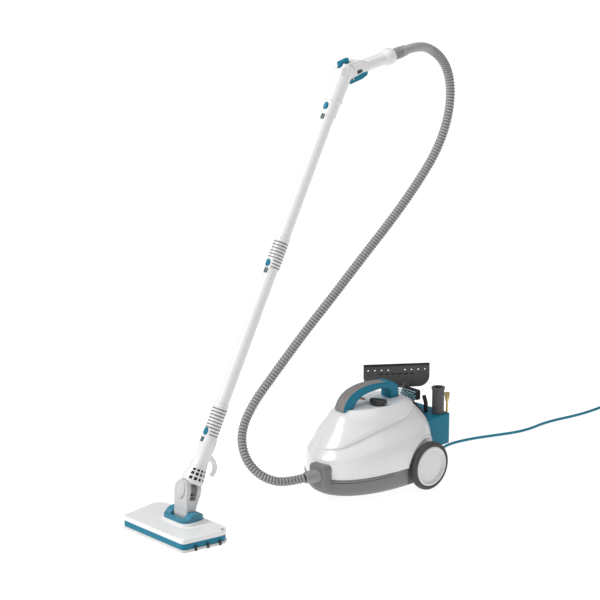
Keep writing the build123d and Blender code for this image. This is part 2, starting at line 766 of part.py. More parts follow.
lock_plane = Plane(origin=at(wand_x + 8, -80, 963), x_dir=(0, cos(rise), sin(rise)), z_dir=(1, 0, 0))
steam_lean = radians(14)
steam_plane = Plane(origin=at(wand_x, -116, 976), x_dir=(0, cos(steam_lean), sin(steam_lean)),
                    z_dir=(0, -sin(steam_lean), cos(steam_lean)))
trigger_pin_y, trigger_pin_z = -99.0, 948.0
trigger_shape = [(-105, 950), (-108, 943), (-102, 936), (-66, 944), (-51, 951), (-49, 958),
                 (-53, 962), (-96, 954)]
trigger_room = [(-111, 952), (-111, 930), (-45, 936), (-45, 972), (-56, 973), (-100, 960)]
gun_solid = gun_body(0)
gun_space = gun_body(2.5)
with BuildPart() as gun_whole:
    add(gun_solid)
    add(gun_space, mode=Mode.SUBTRACT)
    with BuildSketch(wand(gun_low - 40)):
        Circle(bore_radius)
    extrude(amount=60, mode=Mode.SUBTRACT)
    with BuildSketch(grip(80)):
        Circle(12 + running_gap)
    extrude(amount=40, mode=Mode.SUBTRACT)
    with BuildSketch(side(wand_x - 8.6)):
        Polygon(*trigger_room, align=None)
    extrude(amount=17.2, mode=Mode.SUBTRACT)
    with BuildSketch(steam_plane):
        SlotOverall(33, 13)
    extrude(amount=30, mode=Mode.SUBTRACT)
    with BuildSketch(lock_plane):
        SlotOverall(16, 6.4)
    extrude(amount=14, mode=Mode.SUBTRACT)
    with BuildSketch(button_plane(button_spots["top"])):
        SlotOverall(17, 11, rotation=90)
    extrude(amount=10, mode=Mode.SUBTRACT)
    with BuildSketch(side(wand_x - 16)):
        with Locations((trigger_pin_y, trigger_pin_z)):
            Circle(2)
    extrude(amount=32, mode=Mode.SUBTRACT)

middle = side(wand_x)
for keep, name in ((Keep.TOP, "left"), (Keep.BOTTOM, "right")):
    with BuildPart() as gun_shell:
        add(gun_whole.part)
        split(bisect_by=middle, keep=keep)
    gun_shell.part.label = "gun_shell_" + name
    export_step(gun_shell.part, "parts/gun_shell_" + name + ".step")

with BuildPart() as trigger:
    with BuildSketch(side(wand_x - 8)):
        Polygon(*trigger_shape, align=None)
    extrude(amount=16)
    with BuildSketch(side(wand_x - 9)):
        with Locations((trigger_pin_y, trigger_pin_z)):
            Circle(2 + running_gap)
    extrude(amount=18, mode=Mode.SUBTRACT)
trigger.part.label = "trigger"
export_step(trigger.part, "parts/trigger.step")

with BuildPart() as trigger_pin:
    with BuildSketch(side(wand_x - 14)):
        with Locations((trigger_pin_y, trigger_pin_z)):
            Circle(2)
    extrude(amount=28)
trigger_pin.part.label = "trigger_pin"
export_step(trigger_pin.part, "parts/trigger_pin.step")

with BuildPart() as steam_button:
    with BuildSketch(steam_plane.offset(4)):
        SlotOverall(32.2, 12.2)
    extrude(amount=12)
    fillet(steam_button.faces().sort_by(Axis.Z)[-1].edges(), 2)
steam_button.part.label = "steam_button"
export_step(steam_button.part, "parts/steam_button.step")

with BuildPart() as lock_slider:
    with BuildSketch(lock_plane.offset(4.8)):
        with Locations((-2, 0)):
            SlotOverall(11, 5.6)
    extrude(amount=4.5)
lock_slider.part.label = "lock_slider"
export_step(lock_slider.part, "parts/lock_slider.step")

cuff_start, cuff_end = 88.0, 144.0
with BuildPart() as handle_cuff:
    with BuildSketch(grip(cuff_start)):
        Circle(12)
    extrude(amount=cuff_end - cuff_start - 2)
    for ring in range(5):
        with BuildSketch(grip(104 + 6 * ring)):
            Circle(13.4)
        extrude(amount=3)
    with BuildSketch(grip(cuff_end - 14)):
        Circle(12.6)
    extrude(amount=14)
    with BuildSketch(grip(cuff_start)):
        Circle(5)
    extrude(amount=cuff_end - cuff_start, mode=Mode.SUBTRACT)
handle_cuff.part.label = "handle_cuff"
export_step(handle_cuff.part, "parts/handle_cuff.step")
hose_top_end = grip(cuff_end).origin

# ---------------------------------------------------------------- fork and floor head
with BuildPart() as joint_fork:
    with BuildSketch(fork_front.offset(20.5)):
        Circle(22)
        with Locations((0, -fork_drop / 2)):
            Rectangle(44, fork_drop)
        with Locations((0, -fork_drop)):
            Circle(0.01)
    extrude(amount=-41)
    with BuildSketch(fork_side.offset(-23)):
        with BuildLine():
            Polyline((-20.5, 23), (-20.5, -8), (-12, -48), (-12, -fork_drop))
            RadiusArc((-12, -fork_drop), (12, -fork_drop), -12)
            Polyline((12, -fork_drop), (12, -48), (20.5, -8), (20.5, 23), (-20.5, 23))
        make_face()
    extrude(amount=46, mode=Mode.INTERSECT)
    with BuildSketch(fork_side.offset(-22)):
        with Locations((0, -fork_drop)):
            Circle(12)
    extrude(amount=44)
    with BuildSketch(fork_side.offset(-24)):
        with Locations((0, 2)):
            Rectangle(2 * tongue_half + 0.6, 47)
    extrude(amount=48, mode=Mode.SUBTRACT)
    with BuildSketch(fork_front.offset(22)):
        Circle(pin_radius)
    extrude(amount=-44, mode=Mode.SUBTRACT)
    with BuildSketch(fork_side.offset(-24)):
        with Locations((0, -fork_drop)):
            Circle(4 + running_gap)
    extrude(amount=48, mode=Mode.SUBTRACT)
joint_fork.part.label = "joint_fork"
export_step(joint_fork.part, "parts/joint_fork.step")

with BuildPart() as roll_pin:
    with BuildSketch(fork_front.offset(20.5)):
        Circle(pin_radius)
    extrude(amount=-41)
roll_pin.part.label = "roll_pin"
export_step(roll_pin.part, "parts/roll_pin.step")

pitch_y = roll_y - fork_drop * sin(roll_lean)
pitch_z = roll_z - fork_drop * cos(roll_lean)
cheek_in, cheek_out = 22.6, 33.0
with BuildPart() as pitch_pin:
    with BuildSketch(side(wand_x - cheek_out + 1)):
        with Locations((pitch_y, pitch_z)):
            Circle(4)
    extrude(amount=2 * cheek_out - 2)
pitch_pin.part.label = "pitch_pin"
export_step(pitch_pin.part, "parts/pitch_pin.step")

head_y = (head_front + head_rear) / 2
pad_top, plate_bottom, plate_top, mound_top = 7.0, 21.0, 31.0, 36.0


def head_outline(inset):
    """Floor head outline: wider and rounder at the back than at the front."""
    front_y, rear_y = head_front + inset, head_rear - inset
    with BuildSketch(level(0)) as outline:
        Polygon((head_x - head_front_half + inset, front_y), (head_x + head_front_half - inset, front_y),
                (head_x + head_rear_half - inset, rear_y), (head_x - head_rear_half + inset, rear_y),
                align=None)
        fillet(vertices().group_by(Axis.Y)[0], 10 - inset / 2)
        fillet(vertices().group_by(Axis.Y)[-1], 26 - inset / 2)
    return outline.sketch


collar_y = pitch_y - 2
joint_room = Pos(*at(wand_x, pitch_y, pitch_z)) * Rot(0, 90, 0) * Cylinder(15, 2 * cheek_in)
with BuildPart() as head_plate:
    add(head_outline(0).moved(Location((0, 0, plate_bottom))))
    extrude(amount=plate_top - plate_bottom)
    fillet(head_plate.faces().sort_by(Axis.Z)[-1].edges(), 3)
    with BuildSketch(level(plate_top)):
        with Locations((wand_x, collar_y)):
            RectangleRounded(100, 72, 26)
    extrude(amount=mound_top - plate_top, taper=30)
    add(joint_room, mode=Mode.SUBTRACT)
head_plate.part.label = "head_plate"
export_step(head_plate.part, "parts/head_plate.step")

with BuildPart() as head_collar:
    with BuildSketch(level(mound_top)):
        with Locations((wand_x, collar_y)):
            RectangleRounded(82, 62, 18)
    extrude(amount=19)
    with BuildSketch(side(wand_x - 44)):
        with BuildLine():
            Polyline((pitch_y - 44, pitch_z), (pitch_y - 20, pitch_z))
            ThreePointArc((pitch_y - 20, pitch_z), (pitch_y, pitch_z + 10), (pitch_y + 20, pitch_z))
            Polyline((pitch_y + 20, pitch_z), (pitch_y + 44, pitch_z), (pitch_y + 44, 70),
                     (pitch_y - 44, 70), (pitch_y - 44, pitch_z))
        make_face()
    extrude(amount=88, mode=Mode.SUBTRACT)
    with BuildSketch(level(mound_top)):
        with Locations((wand_x, pitch_y + 1)):
            Rectangle(2 * cheek_in, 44)
    extrude(amount=30, mode=Mode.SUBTRACT)
    add(pitch_pin.part, mode=Mode.SUBTRACT)
head_collar.part.label = "head_collar"
export_step(head_collar.part, "parts/head_collar.step")

with BuildPart() as head_rim:
    add(head_outline(1).moved(Location((0, 0, pad_top))))
    extrude(amount=plate_bottom - pad_top)
    fillet(head_rim.faces().sort_by(Axis.Z)[0].edges(), 2)
head_rim.part.label = "head_rim"
export_step(head_rim.part, "parts/head_rim.step")

with BuildPart() as floor_pad:
    add(head_outline(0))
    extrude(amount=pad_top)
    fillet(floor_pad.faces().sort_by(Axis.Z)[-1].edges(), 2)
floor_pad.part.label = "floor_pad"
export_step(floor_pad.part, "parts/floor_pad.step")

side_flare = (head_rear_half - head_front_half) / (head_rear - head_front)
clip_thick, clip_wide = 2.0, 5.0
with BuildPart() as pad_clips:
    for hand in (1, -1):
        for row in (-1, 0, 1):
            clip_y = head_y + 30 * row
            reach = head_front_half + side_flare * (clip_y - head_front) + clip_thick / 2 + 0.06
            with BuildSketch(level(1)):
                with Locations((head_x + hand * reach, clip_y)):
                    Rectangle(clip_thick, clip_wide, rotation=-hand * degrees(atan(side_flare)))
            extrude(amount=12)
pad_clips.part.label = "pad_clips"
export_step(pad_clips.part, "parts/pad_clips.step")

# ---------------------------------------------------------------- steam hose and mains cord
hose_route = [(-50, 119, 999), (-57, 168, 986), (-64, 210, 955), (-69, 236, 912), (-71, 243, 858),
              (-71, 230, 800), (-69, 194, 738), (-66, 136, 676), (-63, 60, 606), (-62, -34, 530),
              (-65, -128, 450), (-72, -218, 372), (-82, -296, 293), (-96, -348, 231), (-106, -375, 172),
              (-95, -381, 123), (-73, -372, 87), (-44, -351, 63), (-14, -321, 57)]
cord_route = [(-30, 116, 41), (-33, 146, 24), (-38, 176, 9), (-46, 212, 3.8), (-60, 262, 3.8),
              (-50, 330, 3.8), (-24, 402, 3.8), (-7, 452, 3.8), (-4, 498, 3.8), (-9, 543, 3.8),
              (-7, 592, 3.8), (3, 648, 3.8), (7, 700, 3.8), (5, 745, 3.8), (3, 783, 3.8)]
relief_end = (cord_exit_x, 94, cord_exit_z)
coil_centre = (52, 795, 0)
coil_mean, coil_wide, coil_high = 42.0, 3, 5


def tube_path(points, label):
    """Straight runs joined by tangent arcs, each as large as its two runs allow."""
    radii = []
    for before, corner, after in zip(points, points[1:], points[2:]):
        run_in = Vector(*corner) - Vector(*before)
        run_out = Vector(*after) - Vector(*corner)
        half_turn = radians(run_in.get_angle(run_out)) / 2
        radii.append(0.45 * min(run_in.length, run_out.length) / tan(half_turn))
    print(label, "radii", [round(r) for r in radii])
    return FilletPolyline(*points, radius=radii)


def tube_report(label, piece, path, radius):
    """Compare a tube's volume with its section times its length."""
    print(label, "length", round(path.length), "volume ratio",
          round(piece.volume / (pi * radius ** 2 * path.length), 4))


with BuildPart() as steam_hose:
    with BuildLine() as hose_line:
        tube_path([tuple(hose_top_end)] + [at(*p) for p in hose_route] + [tuple(hose_low_end)], "hose")
    with BuildSketch(Plane(origin=hose_line.line @ 0, z_dir=hose_line.line % 0)):
        Circle(hose_radius)
    sweep()
steam_hose.part.label = "steam_hose"
tube_report("hose", steam_hose.part, hose_line.wires()[0], hose_radius)
export_step(steam_hose.part, "parts/steam_hose.step")

with BuildPart() as cord_relief:
    with BuildSketch(front(rear_cut)):
        with Locations((cord_exit_x, cord_exit_z)):
            Circle(6.4)
    extrude(amount=-panel_thick)
    with BuildSketch(front(rear_cut + panel_thick)):
        with Locations((cord_exit_x, cord_exit_z)):
            Circle(8)
    extrude(amount=-3)
    with BuildSketch(front(rear_cut + panel_thick + 3)):
        with Locations((cord_exit_x, cord_exit_z)):
            Circle(6.5)
    with BuildSketch(front(relief_end[1])):
        with Locations((cord_exit_x, cord_exit_z)):
            Circle(cord_radius + 0.9)
    loft()
cord_relief.part.label = "cord_relief"
export_step(cord_relief.part, "parts/cord_relief.step")

with BuildPart() as power_cord:
    with BuildLine() as cord_line:
        tube_path([at(*relief_end)] + [at(*p) for p in cord_route], "cord")
    with BuildSketch(Plane(origin=cord_line.line @ 0, z_dir=cord_line.line % 0)):
        Circle(cord_radius)
    sweep()
power_cord.part.label = "power_cord"
tube_report("cord", power_cord.part, cord_line.wires()[0], cord_radius)
export_step(power_cord.part, "parts/power_cord.step")

coil_outer = coil_mean + coil_wide * cord_radius
coil_inner = coil_mean - coil_wide * cord_radius
coil_x, coil_y, coil_z = coil_centre
with BuildPart() as cord_coil:
    with BuildSketch(level(coil_z)):
        with Locations((coil_x, coil_y)):
            Circle(coil_outer)
            Circle(coil_inner, mode=Mode.SUBTRACT)
    extrude(amount=2 * cord_radius * coil_high)
    fillet(cord_coil.edges().filter_by(GeomType.CIRCLE), 3)
cord_coil.part.label = "cord_coil"
export_step(cord_coil.part, "parts/cord_coil.step")

plug_low = 2 * cord_radius * coil_high
plug_length, plug_height, pin_gap = 36.0, 21.0, 19.0
plug_tail = at(coil_x + coil_mean, coil_y + plug_length / 2, plug_low + plug_height / 2 + 0.5)
plug_plane = Plane(origin=plug_tail, x_dir=(1, 0, 0), z_dir=(0, -1, 0))
with BuildPart() as mains_plug:
    with BuildSketch(plug_plane):
        RectangleRounded(34, plug_height, 9)
    extrude(amount=plug_length)
    fillet(mains_plug.faces().sort_by(Axis.Y)[-1].edges(), 4)
    with BuildSketch(plug_plane.offset(plug_length)):
        with GridLocations(pin_gap, 1, 2, 1):
            Circle(2.3)
    extrude(amount=19)
mains_plug.part.label = "mains_plug"
export_step(mains_plug.part, "parts/mains_plug.step")

# ---------------------------------------------------------------- fasteners
with BuildPart() as casing_screws:
    for x, y in ((70, 20), (-70, 20), (82, -120), (-82, -120)):
        with BuildSketch(level(floor_gap)):
            with Locations((x, y)):
                Circle(4)
        extrude(amount=-2)
casing_screws.part.label = "casing_screws"
export_step(casing_screws.part, "parts/casing_screws.step")
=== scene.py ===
import bpy
import bmesh
import numpy as np
from math import cos, pi, radians, sin
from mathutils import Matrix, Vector


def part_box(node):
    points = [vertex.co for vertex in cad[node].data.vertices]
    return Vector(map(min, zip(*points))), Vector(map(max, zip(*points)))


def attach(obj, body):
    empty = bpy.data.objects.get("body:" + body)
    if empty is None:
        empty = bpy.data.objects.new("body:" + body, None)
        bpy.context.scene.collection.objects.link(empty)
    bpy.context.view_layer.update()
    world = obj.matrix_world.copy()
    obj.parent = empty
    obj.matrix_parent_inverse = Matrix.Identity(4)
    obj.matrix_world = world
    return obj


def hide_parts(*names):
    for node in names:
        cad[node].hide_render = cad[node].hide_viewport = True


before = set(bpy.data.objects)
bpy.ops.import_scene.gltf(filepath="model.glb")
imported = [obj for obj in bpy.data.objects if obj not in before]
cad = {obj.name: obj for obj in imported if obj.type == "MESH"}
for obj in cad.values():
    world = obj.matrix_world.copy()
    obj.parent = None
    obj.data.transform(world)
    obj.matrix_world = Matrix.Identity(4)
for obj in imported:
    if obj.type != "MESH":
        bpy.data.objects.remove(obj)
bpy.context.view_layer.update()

# ---------------------------------------------------------------- camera, light and floor
# The machine stands on a pale seamless floor, seen from its front left, under wide soft lamps.
camera = bpy.data.objects.new("camera", bpy.data.cameras.new("camera"))
camera.location = (3.4268, -3.1556, 1.7301)
camera.rotation_euler = (radians(74.9), 0.0, radians(47.4))
camera.data.lens = 130.2
camera.data.sensor_width = 36.0
camera.data.clip_end = 60.0
bpy.context.scene.collection.objects.link(camera)
bpy.context.scene.camera = camera

# Plain photographic exposure: whites stay white, with no film curve over them.
bpy.context.scene.view_settings.view_transform = "Standard"


def soft_lamp(name, place, aim, width, watts):
    """A square area lamp at place, turned towards aim."""
    lamp = bpy.data.objects.new(name, bpy.data.lights.new(name, "AREA"))
    lamp.data.shape = "SQUARE"
    lamp.data.size = width
    lamp.data.energy = watts
    lamp.location = place
    lamp.rotation_euler = (Vector(place) - Vector(aim)).to_track_quat("Z", "Y").to_euler()
    bpy.context.scene.collection.objects.link(lamp)


soft_lamp("key_lamp", (-1.6, -3.4, 3.6), (0.0, 0.0, 0.3), 2.2, 175.0)
soft_lamp("fill_lamp", (3.6, -0.4, 2.6), (0.0, 0.0, 0.3), 2.6, 8.0)
soft_lamp("top_lamp", (0.4, 0.6, 3.8), (0.0, 0.0, 0.0), 3.0, 40.0)

world = bpy.data.worlds.new("soft_room")
world.use_nodes = True
world.node_tree.nodes["Background"].inputs["Color"].default_value = (1.0, 1.0, 1.0, 1.0)
world.node_tree.nodes["Background"].inputs["Strength"].default_value = 0.3
bpy.context.scene.world = world


def grid_mesh(name, points, close_u=False, close_v=False, cap_ends=False):
    """A mesh over an array of points (rows, columns, 3), with its rows and columns closed on request."""
    rows, columns = points.shape[:2]
    number = np.arange(rows * columns).reshape(rows, columns)
    if close_u:
        number = np.vstack([number, number[:1]])
    if close_v:
        number = np.hstack([number, number[:, :1]])
    quads = np.stack([number[:-1, :-1], number[:-1, 1:], number[1:, 1:], number[1:, :-1]], -1)
    faces = quads.reshape(-1, 4).tolist()
    if cap_ends:
        faces.append(list(range(columns))[::-1])
        faces.append(list(range((rows - 1) * columns, rows * columns)))
    mesh = bpy.data.meshes.new(name)
    mesh.from_pydata(points.reshape(-1, 3).tolist(), [], faces)
    mesh.update()
    return mesh


def add_piece(name, mesh, material, sharp=35.0):
    """Puts a finished mesh in the scene, smooth except at edges sharper than the angle given."""
    mesh.polygons.foreach_set("use_smooth", [True] * len(mesh.polygons))
    mesh.set_sharp_from_angle(angle=radians(sharp))
    mesh.materials.clear()
    mesh.materials.append(material)
    piece = bpy.data.objects.new(name, mesh)
    bpy.context.scene.collection.objects.link(piece)
    return piece


def plain_shader(name):
    """A new material and its node tree, shader and Object coordinate output."""
    material = bpy.data.materials.new(name)
    material.use_nodes = True
    tree = material.node_tree
    shader = tree.nodes["Principled BSDF"]
    where = tree.nodes.new("ShaderNodeTexCoord").outputs["Object"]
    return material, tree, shader, where


def noise(tree, where, scale, detail=3.0):
    """A noise pattern of that many grains a metre, read at where."""
    pattern = tree.nodes.new("ShaderNodeTexNoise")
    pattern.inputs["Scale"].default_value = scale
    pattern.inputs["Detail"].default_value = detail
    tree.links.new(where, pattern.inputs["Vector"])
    return pattern.outputs["Fac"]


def spread(tree, value, low, high, start=0.3, end=0.7):
    """Maps a 0 to 1 pattern onto low to high."""
    ranger = tree.nodes.new("ShaderNodeMapRange")
    for socket, number in (("From Min", start), ("From Max", end), ("To Min", low), ("To Max", high)):
        ranger.inputs[socket].default_value = number
    tree.links.new(value, ranger.inputs["Value"])
    return ranger.outputs["Result"]


def two_tone(tree, shader, value, first, second):
    """Runs the base colour from first to second as a 0 to 1 value rises."""
    mix = tree.nodes.new("ShaderNodeMix")
    mix.data_type = "RGBA"
    mix.inputs["A"].default_value = (*first, 1.0)
    mix.inputs["B"].default_value = (*second, 1.0)
    tree.links.new(value, mix.inputs["Factor"])
    tree.links.new(mix.outputs["Result"], shader.inputs["Base Color"])


def relief(tree, shader, height, depth, strength=1.0):
    """A bump of that depth in metres from a 0 to 1 height."""
    bump = tree.nodes.new("ShaderNodeBump")
    bump.inputs["Strength"].default_value = strength
    bump.inputs["Distance"].default_value = depth
    tree.links.new(height, bump.inputs["Height"])
    tree.links.new(bump.outputs["Normal"], shader.inputs["Normal"])


def moulded(name, colour, rough, grain=1400.0, depth=0.00006, wear=0.05, coat=0.0, metallic=0.0):
    """Moulded finish: fine grain in relief, patches of slightly different gloss and tone."""
    material, tree, shader, where = plain_shader(name)
    patches = noise(tree, where, 22.0)
    dull = tuple(c * (1.0 - wear) for c in colour)
    two_tone(tree, shader, spread(tree, patches, 0.0, 1.0), dull, colour)
    tree.links.new(spread(tree, patches, rough * 0.85, rough * 1.2), shader.inputs["Roughness"])
    relief(tree, shader, noise(tree, where, grain), depth, 0.5)
    shader.inputs["Coat Weight"].default_value = coat
    shader.inputs["Coat Roughness"].default_value = 0.12
    shader.inputs["Metallic"].default_value = metallic
    return material


floor_finish = moulded("floor_finish", (0.22, 0.22, 0.22), 0.9, grain=60.0, wear=0.01)
floor_glow = floor_finish.node_tree.nodes["Principled BSDF"].inputs
floor_glow["Emission Color"].default_value = (1.0, 1.0, 1.0, 1.0)
floor_glow["Emission Strength"].default_value = 0.92
floor_side = np.linspace(-30, 30, 13)
floor_points = np.stack(np.meshgrid(floor_side, floor_side, [-0.0004], indexing="ij"), -1)[:, :, 0]
add_piece("studio_floor", grid_mesh("studio_floor", floor_points), floor_finish)

# ---------------------------------------------------------------- mains cord
# Round flexible mains lead in teal PVC, about 4.6 m long. It leaves a tapered relief in the rear
# panel, runs loosely back along the floor and is wound into a neat coil, with its plug on top.
canister_place = np.array([0.0207, 0.269, 0.0])
cord_radius = 0.0035
cord_start = [(-0.030, 0.094, 0.044), (-0.030, 0.116, 0.041), (-0.033, 0.146, 0.024),
              (-0.038, 0.176, 0.009), (-0.046, 0.212, 0.0038), (-0.060, 0.262, 0.0038),
              (-0.050, 0.330, 0.0038), (-0.024, 0.402, 0.0038), (-0.007, 0.452, 0.0038),
              (-0.004, 0.498, 0.0038), (-0.009, 0.543, 0.0038), (-0.007, 0.592, 0.0038),
              (0.003, 0.648, 0.0038), (0.007, 0.700, 0.0038), (0.005, 0.745, 0.0038),
              (0.0028, 0.783, 0.0038)]
coil_centre = np.array([0.052, 0.795, 0.0])
coil_radii = np.array([49, 42, 35, 35, 42, 49, 49, 42, 35, 35, 42, 49, 49, 42, 46, 46]) / 1000.0
coil_layers = np.array([0, 0, 0, 1, 1, 1, 2, 2, 2, 3, 3, 3, 4, 4, 4, 4])
coil_turns = 14.25
coil_start = 0.03
coil_height, layer_step = 0.0036, 0.00705
points_per_turn = 18


def coil_points():
    """Control points of the wound cord: it turns clockwise from the coil's left side, keeps one
    radius and height for most of a turn, and eases to the next over the last quarter. They stand
    out by the cosine of half their spacing, so that the smooth line runs at the radius."""
    turn = np.arange(coil_start, coil_turns, 1.0 / points_per_turn)
    whole = np.floor(turn).astype(int)
    step = np.clip((turn - whole - 0.72) / 0.28, 0, 1)
    step = step * step * (3 - 2 * step)
    radius = coil_radii[whole] * (1 - step) + coil_radii[whole + 1] * step
    layer = coil_layers[whole] * (1 - step) + coil_layers[whole + 1] * step
    angle = pi - 2 * pi * turn
    reach = radius / cos(pi / points_per_turn)
    height = coil_height + layer_step * layer
    return np.stack([reach * np.cos(angle), reach * np.sin(angle), height], -1) + coil_centre


# A quarter bend off the coil's last turn brings the end round and up into the plug.
plug_entry = np.array([0.094, 0.813, 0.046])
bend = 0.0285
bend_angle = np.radians([80, 60, 40, 20, 5])
bend_reach = bend / cos(radians(10))
bend_height = np.array([0.0350, 0.0385, 0.0420, 0.0448, 0.0458])
plug_approach = np.stack([plug_entry[0] - bend + bend_reach * np.cos(bend_angle),
                          plug_entry[1] + bend_reach * np.sin(bend_angle), bend_height], -1)
cord_route = np.vstack([cord_start, coil_points(), plug_approach, plug_entry[None]]) + canister_place


def smooth_line(name, route):
    """One open NURBS spline with the route's points as its control points."""
    line = bpy.data.curves.new(name, "CURVE")
    line.dimensions = "3D"
    spline = line.splines.new("NURBS")
    spline.points.add(len(route) - 1)
    spline.points.foreach_set("co", np.hstack([route, np.ones((len(route), 1))]).ravel())
    spline.order_u = 3
    spline.use_endpoint_u = True
    spline.resolution_u = 8
    piece = bpy.data.objects.new(name, line)
    bpy.context.scene.collection.objects.link(piece)
    return piece


def points_on(piece):
    """The points of a curve's own centreline, read before it gets any thickness."""
    bpy.context.view_layer.update()
    mesh = bpy.data.meshes.new_from_object(piece)
    points = np.zeros(len(mesh.vertices) * 3, np.float64)
    mesh.vertices.foreach_get("co", points)
    bpy.data.meshes.remove(mesh)
    return points.reshape(-1, 3)


def run_length(points):
    """Distance along the points from the first to each."""
    return np.concatenate([[0.0], np.cumsum(np.linalg.norm(np.diff(points, axis=0), axis=1))])


cord_pvc = moulded("cord_pvc", (0.002, 0.200, 0.300), 0.42, grain=2600.0, depth=0.00003)
cord_piece = smooth_line("mains_cord", cord_route)
cord_length = run_length(points_on(cord_piece))[-1]
cord_piece.data.bevel_depth = cord_radius
cord_piece.data.bevel_resolution = 3
cord_piece.data.use_fill_caps = True
cord_piece.data.materials.append(cord_pvc)
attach(cord_piece, "canister")
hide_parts("power_cord", "cord_coil")


def finished(material, *names):
    """Gives carried-over pieces their material."""
    for name in names:
        cad[name].data.materials.clear()
        cad[name].data.materials.append(material)


dark_moulding = moulded("dark_moulding", (0.030, 0.031, 0.034), 0.42)
teal = moulded("teal_moulding", (0.002, 0.190, 0.300), 0.45)
teal.node_tree.nodes["Principled BSDF"].inputs["Specular IOR Level"].default_value = 0.3
finished(dark_moulding, "mains_plug")
finished(teal, "cord_relief")

# ---------------------------------------------------------------- steam hose
# Corrugated grey polymer hose, 22 mm across, with a smooth moulded length behind the handle's cuff.
# The steam line and the trigger wires run in it from the canister's nose to the gun handle.
hose_radius = 0.011
hose_start = np.array([-0.048, 0.075069, 0.992519])
hose_end = np.array([0.008235, -0.284978, 0.066])
hose_middle = [(-0.050, 0.119, 0.999), (-0.057, 0.168, 0.986), (-0.064, 0.210, 0.955),
               (-0.069, 0.236, 0.912), (-0.071, 0.243, 0.858), (-0.071, 0.230, 0.800),
               (-0.069, 0.194, 0.738), (-0.066, 0.136, 0.676), (-0.063, 0.060, 0.606),
               (-0.062, -0.034, 0.530), (-0.065, -0.128, 0.450), (-0.072, -0.218, 0.372),
               (-0.082, -0.296, 0.293), (-0.096, -0.348, 0.231), (-0.106, -0.375, 0.172),
               (-0.095, -0.381, 0.123), (-0.073, -0.372, 0.087), (-0.044, -0.351, 0.063),
               (-0.014, -0.321, 0.057)]
# The upper bend leans out by up to 5 mm sideways and 6 mm back.
hose_lean = np.array([0, 0.3, 0.8, 1, 1, 1, 1, 0.7, 0.3] + [0] * 10)
hose_middle = np.array(hose_middle) + hose_lean[:, None] * [0.005, 0.006, 0.0]
hose_route = np.vstack([hose_start[None], hose_middle, hose_end[None]]) + canister_place
hose_line = smooth_line("hose_line", hose_route)
hose_line.data.splines[0].resolution_u = 24
hose_points = points_on(hose_line)
bpy.data.objects.remove(hose_line)
hose_run = run_length(hose_points)
ring_pitch = 0.0074
ring_depth = 0.0018
smooth_part, first_rings = 0.060, 0.050
smooth_inset = 0.0004


def hose_surface(points, run, step, around):
    """A tube carried along the line: its radius swings between crest and valley once a ring, by a
    flattened cosine that grows from nothing after the smooth part. Returned with the depth of the
    valley at each point, from 0 on a crest to 1, which the hose material turns into painted shade."""
    s = np.arange(0.0, run[-1], step)
    line = np.stack([np.interp(s, run, points[:, i]) for i in range(3)], -1)
    ahead = np.gradient(line, axis=0)
    ahead /= np.linalg.norm(ahead, axis=1)[:, None]
    across = np.array([1.0, 0.0, 0.0]) - ahead * ahead[:, :1]
    across /= np.linalg.norm(across, axis=1)[:, None]
    up = np.cross(ahead, across)
    swing = np.clip((s - smooth_part) / first_rings, 0, 1)
    wave = np.cos(2 * pi * s / ring_pitch)
    wave = np.sign(wave) * np.abs(wave) ** 0.6
    radius = hose_radius - ring_depth / 2 * swing * (1 - wave) - smooth_inset * (1 - swing)
    valley = swing * (1 - wave) / 2
    angle = np.linspace(0, 2 * pi, around, endpoint=False)
    out = across[:, None] * np.cos(angle)[None, :, None] + up[:, None] * np.sin(angle)[None, :, None]
    return line[:, None] + out * radius[:, None, None], np.repeat(valley, around)


hose_skin, hose_valley_shade = hose_surface(hose_points, hose_run, ring_pitch / 8, 32)
hose_mesh = grid_mesh("steam_hose_skin", hose_skin[:, ::-1], close_v=True, cap_ends=True)
hose_mesh.attributes.new("valley", "FLOAT", "POINT").data.foreach_set("value", hose_valley_shade)

# Hose polymer: the light grey is the hose's own colour, and the darker grey laid into its valleys is painted
# shade.
hose_polymer, tree, shader, where = plain_shader("hose_polymer")
valley_shade_node = tree.nodes.new("ShaderNodeAttribute")
valley_shade_node.attribute_name = "valley"
two_tone(tree, shader, spread(tree, valley_shade_node.outputs["Fac"], 0.0, 1.0, 0.15, 0.9),
         (0.360, 0.355, 0.350), (0.165, 0.162, 0.160))
tree.links.new(spread(tree, noise(tree, where, 60.0), 0.38, 0.52), shader.inputs["Roughness"])
relief(tree, shader, noise(tree, where, 2200.0), 0.00005, 0.5)

hose_piece = add_piece("corrugated_hose", hose_mesh, hose_polymer, 180.0)
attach(hose_piece, "canister")
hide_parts("steam_hose")

# ---------------------------------------------------------------- upper casing
# Glossy white ABS shell, injection moulded in one piece with a 3 mm wall. Two swept lines run from
# low on the nose up to the tail, with a hollow between them, and a raised lip rims each wheel arch.
casing_white = moulded("casing_white", (0.86, 0.86, 0.86), 0.24, grain=900.0, depth=0.00002,
                       wear=0.015, coat=0.35)
waist = -0.040
# Height of a level section, its half width, and its nose and tail along Y.
egg_rows = np.array([(14, 98, -226, 62), (27, 108, -238, 72), (56, 115, -243, 80), (104, 116, -237, 84),
                     (136, 106, -216, 80), (166, 87, -193, 64), (190, 68, -175, 38),
                     (200, 57, -163, 18)]) / 1000.0
seam_height, seam_slope = 0.066, sin(radians(2.1))
axle_height = 0.057
deck_height = 0.200
casing_wall = 0.003
lip_radius, lip_slope, lip_height = 0.0695, 0.004, 0.0017


def smooth_through(knots, values, at):
    """Values at points between knots: each span is a cubic whose end slopes are those of the
    parabola through its neighbours."""
    slope = np.gradient(values, knots, edge_order=2)
    span = np.clip(np.searchsorted(knots, at) - 1, 0, len(knots) - 2)
    width = knots[span + 1] - knots[span]
    t = (at - knots[span]) / width
    return ((1 + 2 * t) * (1 - t) ** 2 * values[span] + t * (1 - t) ** 2 * width * slope[span]
            + t * t * (3 - 2 * t) * values[span + 1] + t * t * (t - 1) * width * slope[span + 1])


